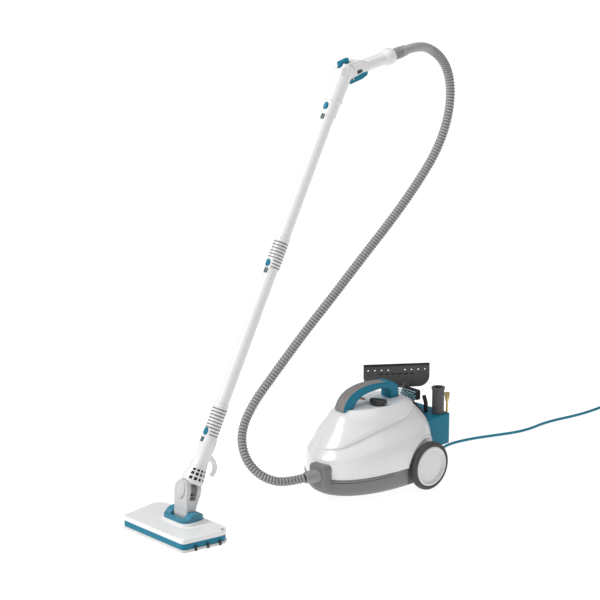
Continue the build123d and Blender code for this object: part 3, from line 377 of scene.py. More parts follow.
def egg_shell(height, angle, proud):
    """Points of the egg-shaped body: at each height a super-ellipse ahead of the waist and an
    ellipse behind it, moved out by proud along the level direction away from the middle."""
    half, nose, tail = (smooth_through(egg_rows[:, 0], egg_rows[:, i], height) for i in (1, 2, 3))
    ahead = np.sin(angle) < 0
    power = np.where(ahead, 2 / 2.25, 1.0)
    reach = np.where(ahead, waist - nose, tail - waist)
    x = (half + proud) * np.abs(np.cos(angle)) ** power * np.sign(np.cos(angle))
    y = waist + (reach + proud) * np.abs(np.sin(angle)) ** power * np.sign(np.sin(angle))
    return np.stack([x, y, height + 0 * x], -1)


def from_nose(angle):
    """Degrees round the body from its nose, the same on both sides."""
    turned = np.degrees(angle + pi / 2)
    return np.abs((turned + 180) % 360 - 180)


def swept_hollow(height, angle):
    """Depth of the hollow between the two swept lines, whose heights are given at angles from the
    nose. It drops in under the upper line by a smooth step over a quarter of the way down, and
    from there fades out evenly to the lower line."""
    round_by = from_nose(angle)
    upper = np.interp(round_by, [0, 7, 16, 24, 32, 43, 57, 81, 107, 132, 180],
                      np.array([123, 124, 127, 133, 142, 153, 164, 175, 184, 189, 192]) / 1000)
    lower = np.interp(round_by, [0, 10, 18, 26, 34, 43, 55, 71, 92, 110, 129, 180],
                      np.array([99, 100, 101, 103, 106, 112, 119, 127, 137, 143, 148, 152]) / 1000)
    u = (upper - height) / (upper - lower)
    inside = (u > 0) & (u < 1)
    rise = np.clip(u / 0.26, 0, 1)
    depth = 0.28 * (upper - lower) * rise * rise * (3 - 2 * rise) * (1 - np.clip(u, 0, 1))
    return np.where(inside, depth, 0.0)


def arch_lip(points):
    """Height of the rounded lip round the wheel arches: a smooth step of the distance from the
    axle, on the sides of the body only."""
    away = np.hypot(points[..., 1], points[..., 2] - axle_height)
    t = np.clip((lip_radius - away) / lip_slope, 0, 1)
    return lip_height * t * t * (3 - 2 * t) * (np.abs(points[..., 0]) > 0.07)


def casing_surface(inset, low, high, rows, columns):
    """Points of the egg body from low to high with the hollow and the lips, drawn in by inset. It
    rolls over at the top into a flat deck that sits a little below its rim."""
    angle = np.linspace(0, 2 * pi, columns, endpoint=False)[None, :]
    height = np.linspace(low, high - inset, rows)[:, None]
    flat = egg_shell(height + 0 * angle, angle + 0 * height, -inset)
    proud = arch_lip(flat) - swept_hollow(height + 0 * angle, angle + 0 * height) - inset
    wall = egg_shell(height + 0 * angle, angle + 0 * height, proud)
    rim = wall[-1]
    middle = np.array([0.0, -0.070, 0.0])
    rings = []
    for scale, drop in ((0.985, -0.0006), (0.965, -0.0006), (0.945, 0.0), (0.93, 0.0008), (0.90, 0.0010),
                        (0.6, 0.0008), (0.3, 0.0007), (0.02, 0.0006)):
        ring = middle + (rim - middle) * [scale, scale, 1.0]
        ring[:, 2] = high - inset - drop
        rings.append(ring)
    return np.vstack([wall, np.array(rings)]) + canister_place


def cylinder_cutter(name, radius, start, end, centre):
    """A round bar along X, as a cutter."""
    angle = np.linspace(0, 2 * pi, 144, endpoint=False)
    ring = np.stack([0 * angle, radius * np.cos(angle), radius * np.sin(angle)], -1) + centre
    points = np.stack([ring + [start, 0, 0], ring + [end, 0, 0]])
    return grid_mesh(name, points[:, ::-1] if end > start else points, close_v=True, cap_ends=True)


def box_cutter(name, low, high, slope=0.0):
    """A block from low to high whose top and bottom lean along Y by slope, with those heights
    above the axle."""
    x, y, z = np.meshgrid(*[(low[i], high[i]) for i in range(3)], indexing="ij")
    corners = np.stack([x, y, z + slope * y], -1)
    ring = corners[:, [0, 1, 1, 0], [0, 0, 1, 1]] + canister_place
    return grid_mesh(name, ring[:, ::-1], close_v=True, cap_ends=True)


def faced_out(mesh):
    """Turns every face of a closed mesh outwards."""
    shell = bmesh.new()
    shell.from_mesh(mesh)
    bmesh.ops.recalc_face_normals(shell, faces=shell.faces)
    shell.to_mesh(mesh)
    shell.free()
    return mesh


def carved(name, body, cutters):
    """The body's mesh after each cutter is taken out of it."""
    piece = bpy.data.objects.new(name, faced_out(body))
    bpy.context.scene.collection.objects.link(piece)
    tools = []
    for cutter in cutters:
        tool = bpy.data.objects.new(cutter.name, faced_out(cutter))
        bpy.context.scene.collection.objects.link(tool)
        cut = piece.modifiers.new("cut", "BOOLEAN")
        cut.operation, cut.solver, cut.object = "DIFFERENCE", "EXACT", tool
        tools.append(tool)
    bpy.context.view_layer.update()
    done = bpy.data.meshes.new_from_object(piece.evaluated_get(bpy.context.evaluated_depsgraph_get()))
    for used in [piece] + tools:
        bpy.data.objects.remove(used)
    return done


def casing_body(name, inset, low, rows, columns):
    """The egg body as a closed mesh that faces outwards."""
    points = casing_surface(inset, low, deck_height, rows, columns)
    return grid_mesh(name, points[:, ::-1], close_v=True, cap_ends=True)


axle_point = canister_place + [0.0, 0.0, axle_height]
arch_radius, arch_floor, arch_mouth = 0.062, 0.099, 0.160


def arch_pair(name, grow):
    """The round cutters for the two wheel arches, grown all over by the wall's thickness or not."""
    return [cylinder_cutter(name, arch_radius + grow, side * (arch_floor - grow), side * (arch_mouth + grow),
                            axle_point) for side in (1, -1)]


arch_cuts = arch_pair("arch_cut", 0.0)
arch_rooms = arch_pair("arch_room", casing_wall)
casing_core = carved("casing_core", casing_body("casing_core", casing_wall, 0.040, 80, 240), arch_rooms)
below_seam = box_cutter("below_seam", (-0.2, -0.3, -0.1), (0.2, 0.12, seam_height), seam_slope)
behind_tail = box_cutter("behind_tail", (-0.2, 0.047, -0.1), (0.2, 0.2, 0.3))
casing_mesh = carved("casing_body", casing_body("casing_body", 0.0, 0.045, 190, 400),
                     arch_cuts + [casing_core, below_seam, behind_tail])
casing = add_piece("casing_shell", casing_mesh, casing_white, 28.0)
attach(casing, "canister")
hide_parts("upper_casing")

# ---------------------------------------------------------------- base tray, rear panel and nose block
# Mid-grey ABS tray under the casing, with a rounded lip along its top edge over a dark strip of painted
# shadow, a dark panel closing the tail, and the grey block in the nose that the hose plugs into.
base_grey = moulded("base_grey", (0.205, 0.202, 0.198), 0.40)
screw_steel = moulded("screw_steel", (0.55, 0.55, 0.56), 0.3, metallic=1.0)
finished(base_grey, "base_tray", "hose_panel")
finished(dark_moulding, "rear_panel")
finished(screw_steel, "casing_screws")
finished(hose_polymer, "canister_cuff", "handle_cuff")


def joined(name, meshes):
    """One mesh of several closed ones."""
    shell = bmesh.new()
    for mesh in meshes:
        shell.from_mesh(mesh)
        bpy.data.meshes.remove(mesh)
    whole = bpy.data.meshes.new(name)
    shell.to_mesh(whole)
    shell.free()
    return whole


def trim_piece(name, meshes, material, body, sharp=40.0):
    """Closed meshes as one small piece fixed to a body."""
    piece = add_piece(name, joined(name, meshes), material, sharp)
    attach(piece, body)
    return piece


def nose_strip(name, section):
    """A strip bent round the nose along the seam, from one wheel arch to the other. Its section is
    given in mm, each point by its drop below the seam and by how far it stands out from the body."""
    drop, proud = np.array(section).T[:, None] / 1000.0
    angle = np.linspace(-pi + 0.27, -0.27, 220)[:, None]
    y = waist - 0.19 * np.abs(np.sin(angle))
    height = seam_height + seam_slope * y - drop
    points = egg_shell(height, angle + 0 * height, proud + 0 * height) + canister_place
    return faced_out(grid_mesh(name, points, close_v=True, cap_ends=True))


lip_section = [(0.2, -1.5), (0.8, 1.0), (1.8, 2.0), (5.8, 2.2), (6.8, 1.2), (7.4, -1.5)]
# The dark strip just under the lip is painted shadow.
lip_shadow_section = [(6.6, -1.2), (6.8, 1.2), (8.4, 1.2), (8.6, -1.2)]
trim_piece("base_lip", [nose_strip("base_lip", lip_section)], base_grey, "canister", 50.0)
trim_piece("lip_shadow_strip", [nose_strip("lip_shadow_strip", lip_shadow_section)], dark_moulding,
           "canister", 50.0)

# ---------------------------------------------------------------- steam generator inside the casing
# Cast aluminium boiler with a ring heater, a thermostat, a brass steam valve and a sleeved steam pipe.
# All of it is closed in by the casing, with the rear axle behind it.
cast_aluminium = moulded("cast_aluminium", (0.60, 0.60, 0.61), 0.45, depth=0.0002, metallic=1.0)
brass_finish = moulded("brass_finish", (0.66, 0.48, 0.18), 0.38, metallic=0.9)
finished(cast_aluminium, "boiler")
finished(screw_steel, "heating_element", "rear_axle")
finished(brass_finish, "steam_valve")
finished(dark_moulding, "thermostat", "steam_pipe", "filler_neck")


def softened(name, nodes, cell, rounds, seam_x=None):
    """A carried-over moulding with its sharp joins melted into small fillets: its merged surface is
    rebuilt as an even skin of cells, then relaxed. Faces on the inner parting plane go first."""
    shell = bmesh.new()
    for node in nodes:
        shell.from_mesh(cad[node].data)
    if seam_x is not None:
        inner = [f for f in shell.faces if abs(f.normal.x) > 0.99
                 and abs(f.calc_center_median().x - seam_x) < 1e-5]
        bmesh.ops.delete(shell, geom=inner, context="FACES")
    bmesh.ops.remove_doubles(shell, verts=shell.verts, dist=2e-6)
    mesh = bpy.data.meshes.new(name)
    shell.to_mesh(mesh)
    shell.free()
    piece = bpy.data.objects.new(name, mesh)
    bpy.context.scene.collection.objects.link(piece)
    skin = piece.modifiers.new("skin", "REMESH")
    skin.mode = "VOXEL"
    skin.voxel_size = cell
    relax = piece.modifiers.new("relax", "SMOOTH")
    relax.factor = 0.5
    relax.iterations = rounds
    bpy.context.view_layer.update()
    done = bpy.data.meshes.new_from_object(piece.evaluated_get(bpy.context.evaluated_depsgraph_get()))
    bpy.data.objects.remove(piece)
    return done


def softened_piece(name, nodes, cell, rounds, material, body, seam_x=None, sharp=60.0):
    """Makes a softened moulding and lets it stand for its nodes."""
    piece = add_piece(name, softened(name, nodes, cell, rounds, seam_x), material, sharp)
    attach(piece, body)
    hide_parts(*nodes)
    return piece


# ---------------------------------------------------------------- deck: filler cap, lamp and carry handle
# Dark screw cap with a lozenge grip over the filler neck, an amber ready lamp, and an arched teal
# handle with a soft warm-grey grip moulded into its top.
amber = moulded("amber_lens", (0.20, 0.035, 0.018), 0.2, coat=0.5)
grip_rubber = moulded("grip_rubber", (0.27, 0.25, 0.235), 0.58, depth=0.0001)
finished(amber, "indicator_lens")
softened_piece("filler_cap", ["safety_cap"], 0.0006, 5, dark_moulding, "cap")
softened_piece("carry_arch", ["carry_handle"], 0.0010, 5, teal, "canister")
softened_piece("arch_grip", ["grip_insert"], 0.0008, 3, grip_rubber, "canister")

# ---------------------------------------------------------------- wheels and caster
# Two big rear wheels, each a white domed disc snapped into a dark grey tyre, on one steel axle, and a
# small swivelling caster in a pocket under the nose.
wheel_white = moulded("wheel_white", (0.80, 0.80, 0.80), 0.30, wear=0.02, coat=0.2)
tyre_rubber = moulded("tyre_rubber", (0.062, 0.060, 0.059), 0.58, depth=0.0001)
finished(tyre_rubber, "caster_wheel")
finished(dark_moulding, "caster_fork")


def turned(profile, side, around=160):
    """A closed profile of (distance outwards, radius) in mm, spun about the axle on one side."""
    profile = np.array(profile) / 1000.0
    angle = np.linspace(0, 2 * pi, around, endpoint=False)[None, :]
    x = side * profile[:, :1] + 0 * angle
    y = profile[:, 1:] * np.cos(angle)
    z = profile[:, 1:] * np.sin(angle)
    return np.stack([x, y, z], -1) + axle_point


disc_profile = [(114.2, 4.4), (124.5, 4.4), (124.5, 0.05), (129.0, 0.05), (128.9, 12), (128.5, 22),
                (127.8, 31), (127.0, 37), (126.9, 38.6), (128.0, 39.6), (131.0, 40.6), (132.5, 41.6),
                (132.9, 43.0), (132.5, 44.9), (131.2, 46.2), (129.8, 46.8), (114.2, 46.8), (114.2, 43.5),
                (124.0, 37.0), (124.0, 11.0), (114.2, 11.0)]
tyre_profile = [(114.2, 47.2), (130.2, 47.2), (131.0, 47.8), (131.3, 49.2), (131.0, 52.2), (129.6, 54.8),
                (127.2, 56.4), (124.6, 56.95), (123.2, 56.95), (122.7, 56.4), (122.2, 56.4), (121.7, 56.95),
                (118.4, 56.6), (116.0, 55.6), (114.5, 53.4), (114.2, 51.0)]
for side, hand in ((1, "left"), (-1, "right")):
    disc = faced_out(grid_mesh("disc_" + hand, turned(disc_profile, side), close_u=True, close_v=True))
    piece = add_piece("wheel_cover_" + hand, disc, wheel_white, 40.0)
    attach(piece, "wheel_" + hand)
    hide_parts("wheel_disc_" + hand)
    band = faced_out(grid_mesh("band_" + hand, turned(tyre_profile, side), close_u=True, close_v=True))
    piece = add_piece("rubber_tyre_" + hand, band, tyre_rubber, 40.0)
    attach(piece, "wheel_" + hand)
    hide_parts("tyre_" + hand)

# ---------------------------------------------------------------- tool caddy and its tools
# Teal moulded caddy behind the canister with a perforated squeegee, a scrubbing brush, a bent nozzle,
# a steam lance and a small brass brush standing in its sockets.
tool_grey = moulded("tool_grey", (0.085, 0.084, 0.085), 0.45)
nozzle_brown = moulded("nozzle_brown", (0.030, 0.017, 0.014), 0.4)
blade_rubber = moulded("blade_rubber", (0.012, 0.012, 0.013), 0.55)
finished(teal, "tool_caddy")
finished(tool_grey, "squeegee_plate", "lance")
finished(nozzle_brown, "bent_nozzle")
finished(blade_rubber, "squeegee_blade", "brush_block")


def tufts(roots, tips, radius, spread_tip, around=7):
    """Round tufts from their roots to their tips, as three rings each: at the root, half way up,
    and at the tip, where the radius is spread_tip times as large."""
    ahead = tips - roots
    ahead /= np.linalg.norm(ahead, axis=1)[:, None]
    across = np.cross(ahead, [0.31, 0.17, 0.93])
    across /= np.linalg.norm(across, axis=1)[:, None]
    up = np.cross(ahead, across)
    angle = np.linspace(0, 2 * pi, around, endpoint=False)
    circle = across[:, None] * np.cos(angle)[None, :, None] + up[:, None] * np.sin(angle)[None, :, None]
    rings = [roots[:, None] + circle * radius, (roots + tips)[:, None] / 2 + circle * radius * 1.05,
             tips[:, None] + circle * radius * spread_tip]
    return np.stack(rings, 1)


def tuft_mesh(name, rings):
    """One mesh of many closed tufts."""
    count, rows, around = rings.shape[:3]
    first = np.arange(count)[:, None, None] * rows * around
    ring = first + np.arange(rows)[None, :, None] * around + np.arange(around)[None, None, :]
    following = np.roll(ring, -1, 2)
    sides = np.stack([ring[:, :-1], following[:, :-1], following[:, 1:], ring[:, 1:]], -1).reshape(-1, 4)
    ends = ring[:, 0, ::-1].tolist() + ring[:, -1].tolist()
    mesh = bpy.data.meshes.new(name)
    mesh.from_pydata(rings.reshape(-1, 3).tolist(), [], sides.tolist() + ends)
    mesh.update()
    return faced_out(mesh)


# Slot black is painted shade: dark slabs in the squeegee's slots, the neck's vents and the tongue's windows
# stand for the shade inside them.
slot_shade_black = moulded("slot_shade_black", (0.010, 0.010, 0.010), 0.6)
plate_turn = radians(54.5)
plate_along = np.array([cos(plate_turn), sin(plate_turn), 0.0])
plate_out = np.array([sin(plate_turn), -cos(plate_turn), 0.0])
plate_foot = canister_place + [-0.048, 0.092, 0.0]
slot_height, slot_pitch, slot_radius, slot_straight = 0.222, 0.015, 0.0016, 0.0038


def slot_shade_floor(middle):
    """The dark floor of one slot in the plate, painted shade for the slot's depth: two half circles joined by
    straights, a thin slab.
    """
    angle = np.linspace(0, 2 * pi, 40, endpoint=False)
    along = slot_straight * np.sign(np.cos(angle)) + slot_radius * np.cos(angle) + middle
    height = slot_height + slot_radius * np.sin(angle)
    ring = plate_foot + along[:, None] * plate_along + height[:, None] * [0.0, 0.0, 1.0]
    slab = np.stack([ring + 0.0009 * plate_out, ring + 0.00118 * plate_out])
    return faced_out(grid_mesh("slot", slab, close_v=True, cap_ends=True))


trim_piece("slot_shade_floors", [slot_shade_floor(slot_pitch * (spot - 2.5) - 0.022) for spot in range(6)],
           slot_shade_black, "squeegee")

bristle_teal, tree, shader, where = plain_shader("bristle_teal")
hue = tree.nodes.new("ShaderNodeAttribute")
hue.attribute_name = "pale"
two_tone(tree, shader, hue.outputs["Fac"], (0.02, 0.20, 0.27), (0.62, 0.74, 0.76))
shader.inputs["Roughness"].default_value = 0.5
brush_middle = canister_place + [-0.016, 0.080, 0.183]
tuft_columns, tuft_rows = 12, 5
column, row = np.meshgrid(np.linspace(-0.0205, 0.0205, tuft_columns), np.linspace(-0.0078, 0.0078, tuft_rows))
roots = np.stack([column.ravel(), 0 * column.ravel() - 0.0075, row.ravel()], -1)
tips = roots * [1.25, 1, 1.6] + [0, -0.0125, 0.001]
brush_rings = tufts(roots, tips, 0.00095, 1.3) + brush_middle
brush_mesh = tuft_mesh("brush_tufts", brush_rings)
tuft_number = np.arange(tuft_columns * tuft_rows)
every_other = (tuft_number // tuft_columns + tuft_number % tuft_columns) % 2
pale = np.repeat(every_other, brush_rings.shape[1] * brush_rings.shape[2]).astype(np.float32)
brush_mesh.attributes.new("pale", "FLOAT", "POINT").data.foreach_set("value", pale)
brush_tufts = add_piece("brush_tufts", brush_mesh, bristle_teal, 50.0)
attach(brush_tufts, "scrub_brush")
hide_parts("brush_bristles")

low_end, high_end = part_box("brass_brush")
brass_foot = np.array([(low_end.x + high_end.x) / 2, (low_end.y + high_end.y) / 2, high_end.z])
# Hairs set in a sunflower spiral: each a golden angle on, and the square root of its number out.
hairs = 44
golden_angle = 2.39996
turn = np.arange(hairs) * golden_angle
reach = 0.0036 * np.sqrt((np.arange(hairs) + 0.5) / hairs)
roots = np.stack([reach * np.cos(turn), reach * np.sin(turn), 0 * turn - 0.019], -1)
tips = np.stack([2.0 * reach * np.cos(turn), 2.0 * reach * np.sin(turn), 0 * turn], -1)
brass_hair = moulded("brass_hair", (0.78, 0.62, 0.30), 0.45, metallic=0.35)
brass_rings = tufts(roots, tips, 0.00042, 1.1, 5) + brass_foot
trim_piece("brass_tuft", [tuft_mesh("brass_tuft", brass_rings)], brass_hair, "detail_brush", 50.0)
finished(brass_finish, "brass_brush")

# ---------------------------------------------------------------- wand: tubes, collars and gun handle
# Two white tubes joined by ribbed collars with teal release buttons, a neck with a cord hook at the
# foot, and a two-part gun handle with a trigger, a boost button and a child lock.
tube_white = moulded("tube_white", (0.80, 0.80, 0.80), 0.32, wear=0.02, coat=0.15)
# Groove grey is painted shade: dark bands laid into the collar and cuff grooves.
groove_shade_grey = moulded("groove_shade_grey", (0.20, 0.20, 0.205), 0.6)
finished(tube_white, "low_collar", "mid_collar", "lower_tube", "upper_tube")
finished(screw_steel, "steam_conduit", "trigger_pin", "pitch_pin")
finished(teal, "trigger", "steam_button", "low_tube_button", "mid_tube_button", "top_tube_button")
finished(moulded("slider_blue", (0.030, 0.065, 0.105), 0.4), "lock_slider")
wand_side = -0.048
softened_piece("gun_handle", ["gun_shell_left", "gun_shell_right"], 0.0011, 7, tube_white, "wand",
               canister_place[0] + wand_side)

lean = radians(27.85)
wand_foot = canister_place + [wand_side, -0.5373, 0.165]
wand_up = np.array([0.0, sin(lean), cos(lean)])
wand_back = np.array([0.0, cos(lean), -sin(lean)])


def on_wand(s, radius, angle):
    """Points round the wand: s up from its foot, at a radius, an angle turned from +X to its back."""
    s, radius, angle = np.broadcast_arrays(s, radius, angle)
    return (wand_foot + s[..., None] * wand_up + (radius * np.cos(angle))[..., None] * [1.0, 0.0, 0.0]
            + (radius * np.sin(angle))[..., None] * wand_back)


def patch(spot, s_ends, angle_ends, out_ends, rows=4, columns=9):
    """A closed block between two distances, two angles in degrees and two heights out of the
    surface. spot(s, angle, out) gives the place of a point that stands out from that surface."""
    s, angle = np.meshgrid(np.linspace(*s_ends, rows), np.radians(np.linspace(*angle_ends, columns)),
                           indexing="ij")
    inner, outer = (spot(s, angle, out) for out in out_ends)
    ring = np.concatenate([inner, outer[:, ::-1]], 1)
    return faced_out(grid_mesh("patch", ring, close_v=True, cap_ends=True))


def rings(place, spots, width, outer, inner):
    """Square-edged rings at the spots given. place(s, radius, angle) gives their points."""
    angle = np.linspace(0, 2 * pi, 64, endpoint=False)[None, :]
    radius = np.array([inner, outer, outer, inner])[:, None]
    edges = np.array([-1, -1, 1, 1])[:, None] * width / 2
    return [faced_out(grid_mesh("ring", place(spot + edges, radius, angle), close_u=True, close_v=True))
            for spot in spots]


def on_grip(s, radius, angle):
    """Points round the grip's hose end: s out from the wand, at a radius and an angle from +X."""
    s, radius, angle = np.broadcast_arrays(s, radius, angle)
    rise = radians(9.4)
    out, up = np.array([0.0, cos(rise), sin(rise)]), np.array([0.0, -sin(rise), cos(rise)])
    return (canister_place + [wand_side, -0.067, 0.969] + s[..., None] * out
            + (radius * np.cos(angle))[..., None] * [1.0, 0.0, 0.0]
            + (radius * np.sin(angle))[..., None] * up)


def on_neck(s, angle, out):
    """Points standing out from the neck's flared foot. Its section is a square whose sides are as
    wide as the flare at s, with corners rounded to 0.42 of that, and it leans forward as it widens."""
    width = np.interp(s, [-0.066, -0.042, -0.020, 0.0], [0.045, 0.043, 0.035, 0.0336])
    forward = np.interp(s, [-0.066, -0.042, -0.020, 0.0], [-0.004, -0.003, -0.001, 0.0])
    c, d = np.abs(np.cos(angle)), np.abs(np.sin(angle))
    corner = 0.08 * width
    rounded = corner * (c + d) + np.sqrt((corner * (c + d)) ** 2 - 2 * corner ** 2 + (0.42 * width) ** 2)
    radius = np.where(np.maximum(c, d) * rounded > width / 2, width / 2 / np.maximum(c, d), rounded) + out
    return on_wand(s, radius, angle) + forward[..., None] * wand_back


def on_tube(radius):
    """A spot function for a round part of the wand."""
    return lambda s, angle, out: on_wand(s, radius + out, angle)


groove_width = 0.0026
collar_floor, collar_edge = 0.0158, 0.0170


def collar_shade_rings(top, pitch, button):
    """Nine dark rings of painted shade in the grooves round a collar from its top down. Those level with the
    button stop short of it.
    """
    spots = top - pitch * np.arange(9)
    beside = spots <= button + 0.010
    half, depth = groove_width / 2, collar_edge - collar_floor
    whole = rings(on_wand, spots[~beside], groove_width, collar_edge, collar_floor)
    return whole + [patch(on_tube(collar_floor), (s - half, s + half), (-55, 235), (0.0, depth), 4, 56)
                    for s in spots[beside]]


cuff_spots = 0.1085 + 0.006 * np.arange(4)
# Dark rings in the grooves of both collars and the hose cuff, painted as shade.
trim_piece("low_groove_shade", collar_shade_rings(0.1065, 0.0074, 0.052), groove_shade_grey, "wand")
trim_piece("mid_groove_shade", collar_shade_rings(0.4965, 0.0071, 0.446), groove_shade_grey, "wand")
trim_piece("cuff_groove_shade", rings(on_grip, cuff_spots, groove_width, 0.01235, 0.0115),
           groove_shade_grey, "wand")
trim_piece("gun_flange", rings(on_wand, [0.8345], 0.0032, 0.0206, 0.0150),
           tube_white, "wand")
trim_piece("neck_flange", rings(on_wand, [0.0405], 0.0024, 0.0186, 0.0150),
           tube_white, "wand")
latch_slate = moulded("latch_slate", (0.060, 0.105, 0.115), 0.45)
tongue_feet = ((0.0168, 0.0275), (0.01475, 0.4235), (0.01475, 0.7870))
trim_piece("latch_tongues",
           [patch(on_tube(radius), (foot, foot + 0.0110), (-104, -76), (-0.0010, 0.0026))
            for radius, foot in tongue_feet], latch_slate, "wand")

vent_rows = ((-0.0340, 0.0026), (-0.0425, 0.0034), (-0.0530, 0.0034))
vent_columns = [side + turn for side in (0, 180) for turn in (-58, -30, -2, 26)]


def vents(grow, spread_by, depths):
    """A block at each vent in the neck: rows of (place, half height), grown along the neck and
    spread_by degrees to each side."""
    return [patch(on_neck, (s - half - grow, s + half + grow), (turn - spread_by, turn + spread_by), depths)
            for s, half in vent_rows for turn in vent_columns]


band_halves = [patch(on_neck, (-0.0256, -0.0232), ends, (-0.0010, 0.0007), 4, 48)
               for ends in ((-90, 90), (90, 270))]
trim_piece("neck_band", band_halves, tube_white, "wand")
neck_mesh = carved("neck_moulding", softened("neck_moulding", ["wand_neck"], 0.0010, 4),
                   [joined("vent_cuts", vents(0.0, 10, (-0.0022, 0.004)))])
neck = add_piece("neck_moulding", neck_mesh, tube_white, 32.0)
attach(neck, "wand")
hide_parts("wand_neck")
# Dark slabs on the floors of the vent pockets, as painted shade.
trim_piece("vent_shade_floors", vents(0.0003, 11, (-0.0027, -0.0019)), slot_shade_black, "wand")

# ---------------------------------------------------------------- joint fork
# Satin light-grey fork that carries the wand on a roll pin. An oval boss covers the pin in front, and
# dark dimpled inserts in the neck's round tongue show between its cheeks.
fork_grey = moulded("fork_grey", (0.60, 0.60, 0.60), 0.36, wear=0.03)
softened_piece("fork_moulding", ["joint_fork"], 0.0009, 4, fork_grey, "fork")
finished(fork_grey, "roll_pin")

fork_tip = radians(12.0)
roll_centre = canister_place + [wand_side, -0.581, 0.098]
fork_up = np.array([0.0, sin(fork_tip), cos(fork_tip)])
fork_forward = np.array([0.0, -cos(fork_tip), sin(fork_tip)])
boss_half_width, boss_half_height = 0.0148, 0.0190
# Share of the oval's reach, and height out of the fork's face in mm, from the rim to the middle.
boss_profile = np.array([(1.0, -2.0), (1.0, 1.0), (0.985, 1.9), (0.95, 2.4), (0.88, 2.2), (0.86, 1.7),
                         (0.80, 2.1), (0.62, 2.9), (0.38, 3.4), (0.02, 3.6)])


def boss_surface():
    """The oval boss: an ellipse drawn in and raised by each row of its profile."""
    angle = np.linspace(0, 2 * pi, 96, endpoint=False)[None, :]
    reach, height = boss_profile[:, :1], boss_profile[:, 1:] / 1000.0
    return (roll_centre + (boss_half_width * reach * np.cos(angle))[..., None] * [1.0, 0.0, 0.0]
            + (boss_half_height * reach * np.sin(angle) + 0.0005)[..., None] * fork_up
            + (height + 0.0205 + 0 * angle)[..., None] * fork_forward)


trim_piece("fork_boss", [faced_out(grid_mesh("fork_boss", boss_surface(), close_v=True, cap_ends=True))],
           fork_grey, "fork", 35.0)

insert_grey, tree, shader, where = plain_shader("insert_grey")
shader.inputs["Base Color"].default_value = (0.17, 0.17, 0.172, 1.0)
shader.inputs["Roughness"].default_value = 0.6
dimple = tree.nodes.new("ShaderNodeTexVoronoi")
dimple.inputs["Scale"].default_value = 520.0
dimple.inputs["Randomness"].default_value = 0.15
tree.links.new(where, dimple.inputs["Vector"])
relief(tree, shader, dimple.outputs["Distance"], 0.0010, 0.8)
tongue_radius = 0.0202


def on_tongue(across, angle, out):
    """Points out from the neck's round tongue: across it along the roll pin, and round it from +X."""
    reach = tongue_radius + out
    return (roll_centre + (reach * np.cos(angle))[..., None] * [1.0, 0.0, 0.0]
            + (reach * np.sin(angle))[..., None] * fork_up + across[..., None] * fork_forward)


inserts = [patch(on_tongue, (-0.0080, 0.0080), ends, (-0.0006, 0.0005), 4, 25)
           for ends in ((-42, 56), (124, 222))]
# Two small dark windows in the tongue, as painted shade.
windows = [patch(on_tongue, (-0.0010, 0.0068), ends, (-0.0004, 0.0008))
           for ends in ((-36, -18), (198, 216))]
trim_piece("tongue_insert", inserts, insert_grey, "wand")
trim_piece("tongue_window", windows, slot_shade_black, "wand")

# ---------------------------------------------------------------- floor head
# White moulded plate on a teal band, with a teal saddle round the joint and a small dark release
# stud. A looped microfibre pad is held under it by three short elastic clips on each side.
teal_light = moulded("teal_light", (0.040, 0.235, 0.345), 0.42)
finished(casing_white, "head_plate")
finished(teal_light, "head_collar")
finished(teal, "head_rim")
finished(blade_rubber, "pad_clips")
stud_place = np.array([0.056, -0.572, 0.0309])
# Radius and height of the stud's outline in mm.
stud_profile = np.array([(3.0, -0.5), (3.0, 0.4), (2.6, 0.8), (1.6, 1.1), (0.05, 1.2)])


def stud_surface():
    """The stud's outline spun about its upright axis."""
    angle = np.linspace(0, 2 * pi, 32, endpoint=False)[None, :]
    radius, height = stud_profile[:, :1] / 1000.0, stud_profile[:, 1:] / 1000.0
    return (np.stack([radius * np.cos(angle), radius * np.sin(angle), height + 0 * angle], -1)
            + stud_place + canister_place)


trim_piece("head_stud", [faced_out(grid_mesh("head_stud", stud_surface(), close_v=True, cap_ends=True))],
           nozzle_brown, "head")
pad_points = 420


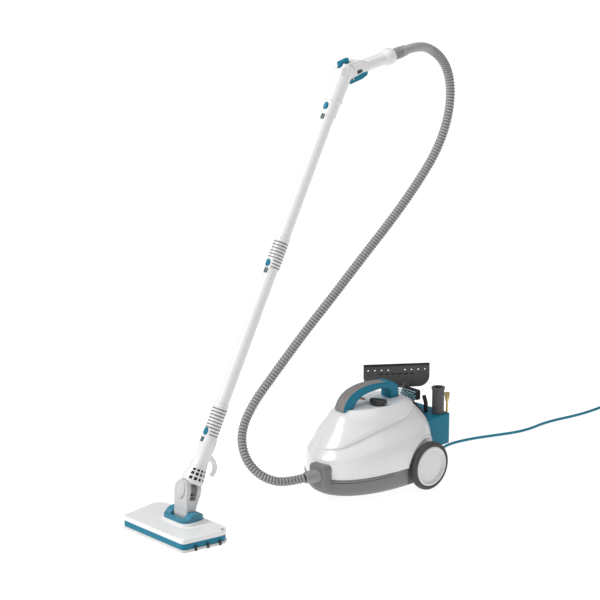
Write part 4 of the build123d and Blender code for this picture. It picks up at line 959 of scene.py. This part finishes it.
def head_ring(grow):
    """Points evenly round the floor head's outline, moved out by grow: a trapezoid 208 mm wide in
    front and 248 mm behind, its corners rounded by 10 mm in front and 26 mm behind."""
    corners = np.array([[0.050, -0.678], [0.070, -0.555], [-0.178, -0.555], [-0.158, -0.678]])
    bends = [0.010, 0.026, 0.026, 0.010]
    line = []
    for i, bend in enumerate(bends):
        here = corners[i]
        u, v = corners[i - 1] - here, corners[(i + 1) % 4] - here
        u, v = u / np.linalg.norm(u), v / np.linalg.norm(v)
        half = np.arccos(np.dot(u, v)) / 2
        centre = here + (u + v) / np.linalg.norm(u + v) * bend / np.sin(half)
        first, last = here + u * bend / np.tan(half) - centre, here + v * bend / np.tan(half) - centre
        t = np.linspace(0, 1, 24)[:, None]
        arc = first * (1 - t) + last * t
        line.append(centre + arc / np.linalg.norm(arc, axis=1)[:, None] * (bend + grow))
    line = np.vstack(line + [line[0][:1]])
    run = run_length(np.hstack([line, 0 * line[:, :1]]))
    at = np.linspace(0, run[-1], pad_points, endpoint=False)
    return np.stack([np.interp(at, run, line[:, 0]), np.interp(at, run, line[:, 1])], -1)


def pad_surface():
    """Closed pad: the outline at each row of the edge's profile, which is given in mm by how far it
    stands out and its height: a rounded lower edge, a sewn-in bead and a thin upper edge tucked under
    the rim. A sum of three waves along it swells and dips it by up to 0.5 mm, as looped cloth does."""
    edge = [(-20, 0.1), (-8, 0.0), (-3, 0.0), (-0.8, 0.3), (0.5, 1.1), (0.9, 2.2), (0.4, 3.1), (0.1, 3.4),
            (0.6, 3.9), (1.1, 4.6), (0.9, 5.5), (0.0, 6.2), (-1.5, 6.7), (-6, 6.8), (-20, 6.8)]
    run = np.linspace(0, 2 * pi, pad_points, endpoint=False)
    swell = 0.00022 * np.sin(47 * run) + 0.00016 * np.sin(83 * run + 1.1) + 0.00012 * np.sin(131 * run + 0.4)
    middle = np.array([-0.054, -0.6165])
    rings = []
    for grow, height in edge:
        ring = head_ring(grow / 1000)
        outward = ring - middle
        outward /= np.linalg.norm(outward, axis=1)[:, None]
        ring = ring + outward * swell[:, None] * (0.2 < height < 6.3)
        rings.append(np.hstack([ring, np.full((pad_points, 1), height / 1000)]))
    under, over = ([np.hstack([middle + (edge_ring[:, :2] - middle) * scale, edge_ring[:, 2:]])
                    for scale in (0.66, 0.33, 0.01)] for edge_ring in (rings[0], rings[-1]))
    return np.array(under[::-1] + rings + over) + canister_place


cloth_white, tree, shader, where = plain_shader("cloth_white")
two_tone(tree, shader, spread(tree, noise(tree, where, 260.0), 0.0, 1.0),
         (0.66, 0.66, 0.655), (0.84, 0.84, 0.835))
shader.inputs["Roughness"].default_value = 0.92
shader.inputs["Sheen Weight"].default_value = 0.25
relief(tree, shader, noise(tree, where, 650.0), 0.0010, 0.7)
pad_mesh = faced_out(grid_mesh("microfibre_pad", pad_surface(), close_v=True, cap_ends=True))
pad = add_piece("microfibre_pad", pad_mesh, cloth_white, 60.0)
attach(pad, "head")
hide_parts("floor_pad")
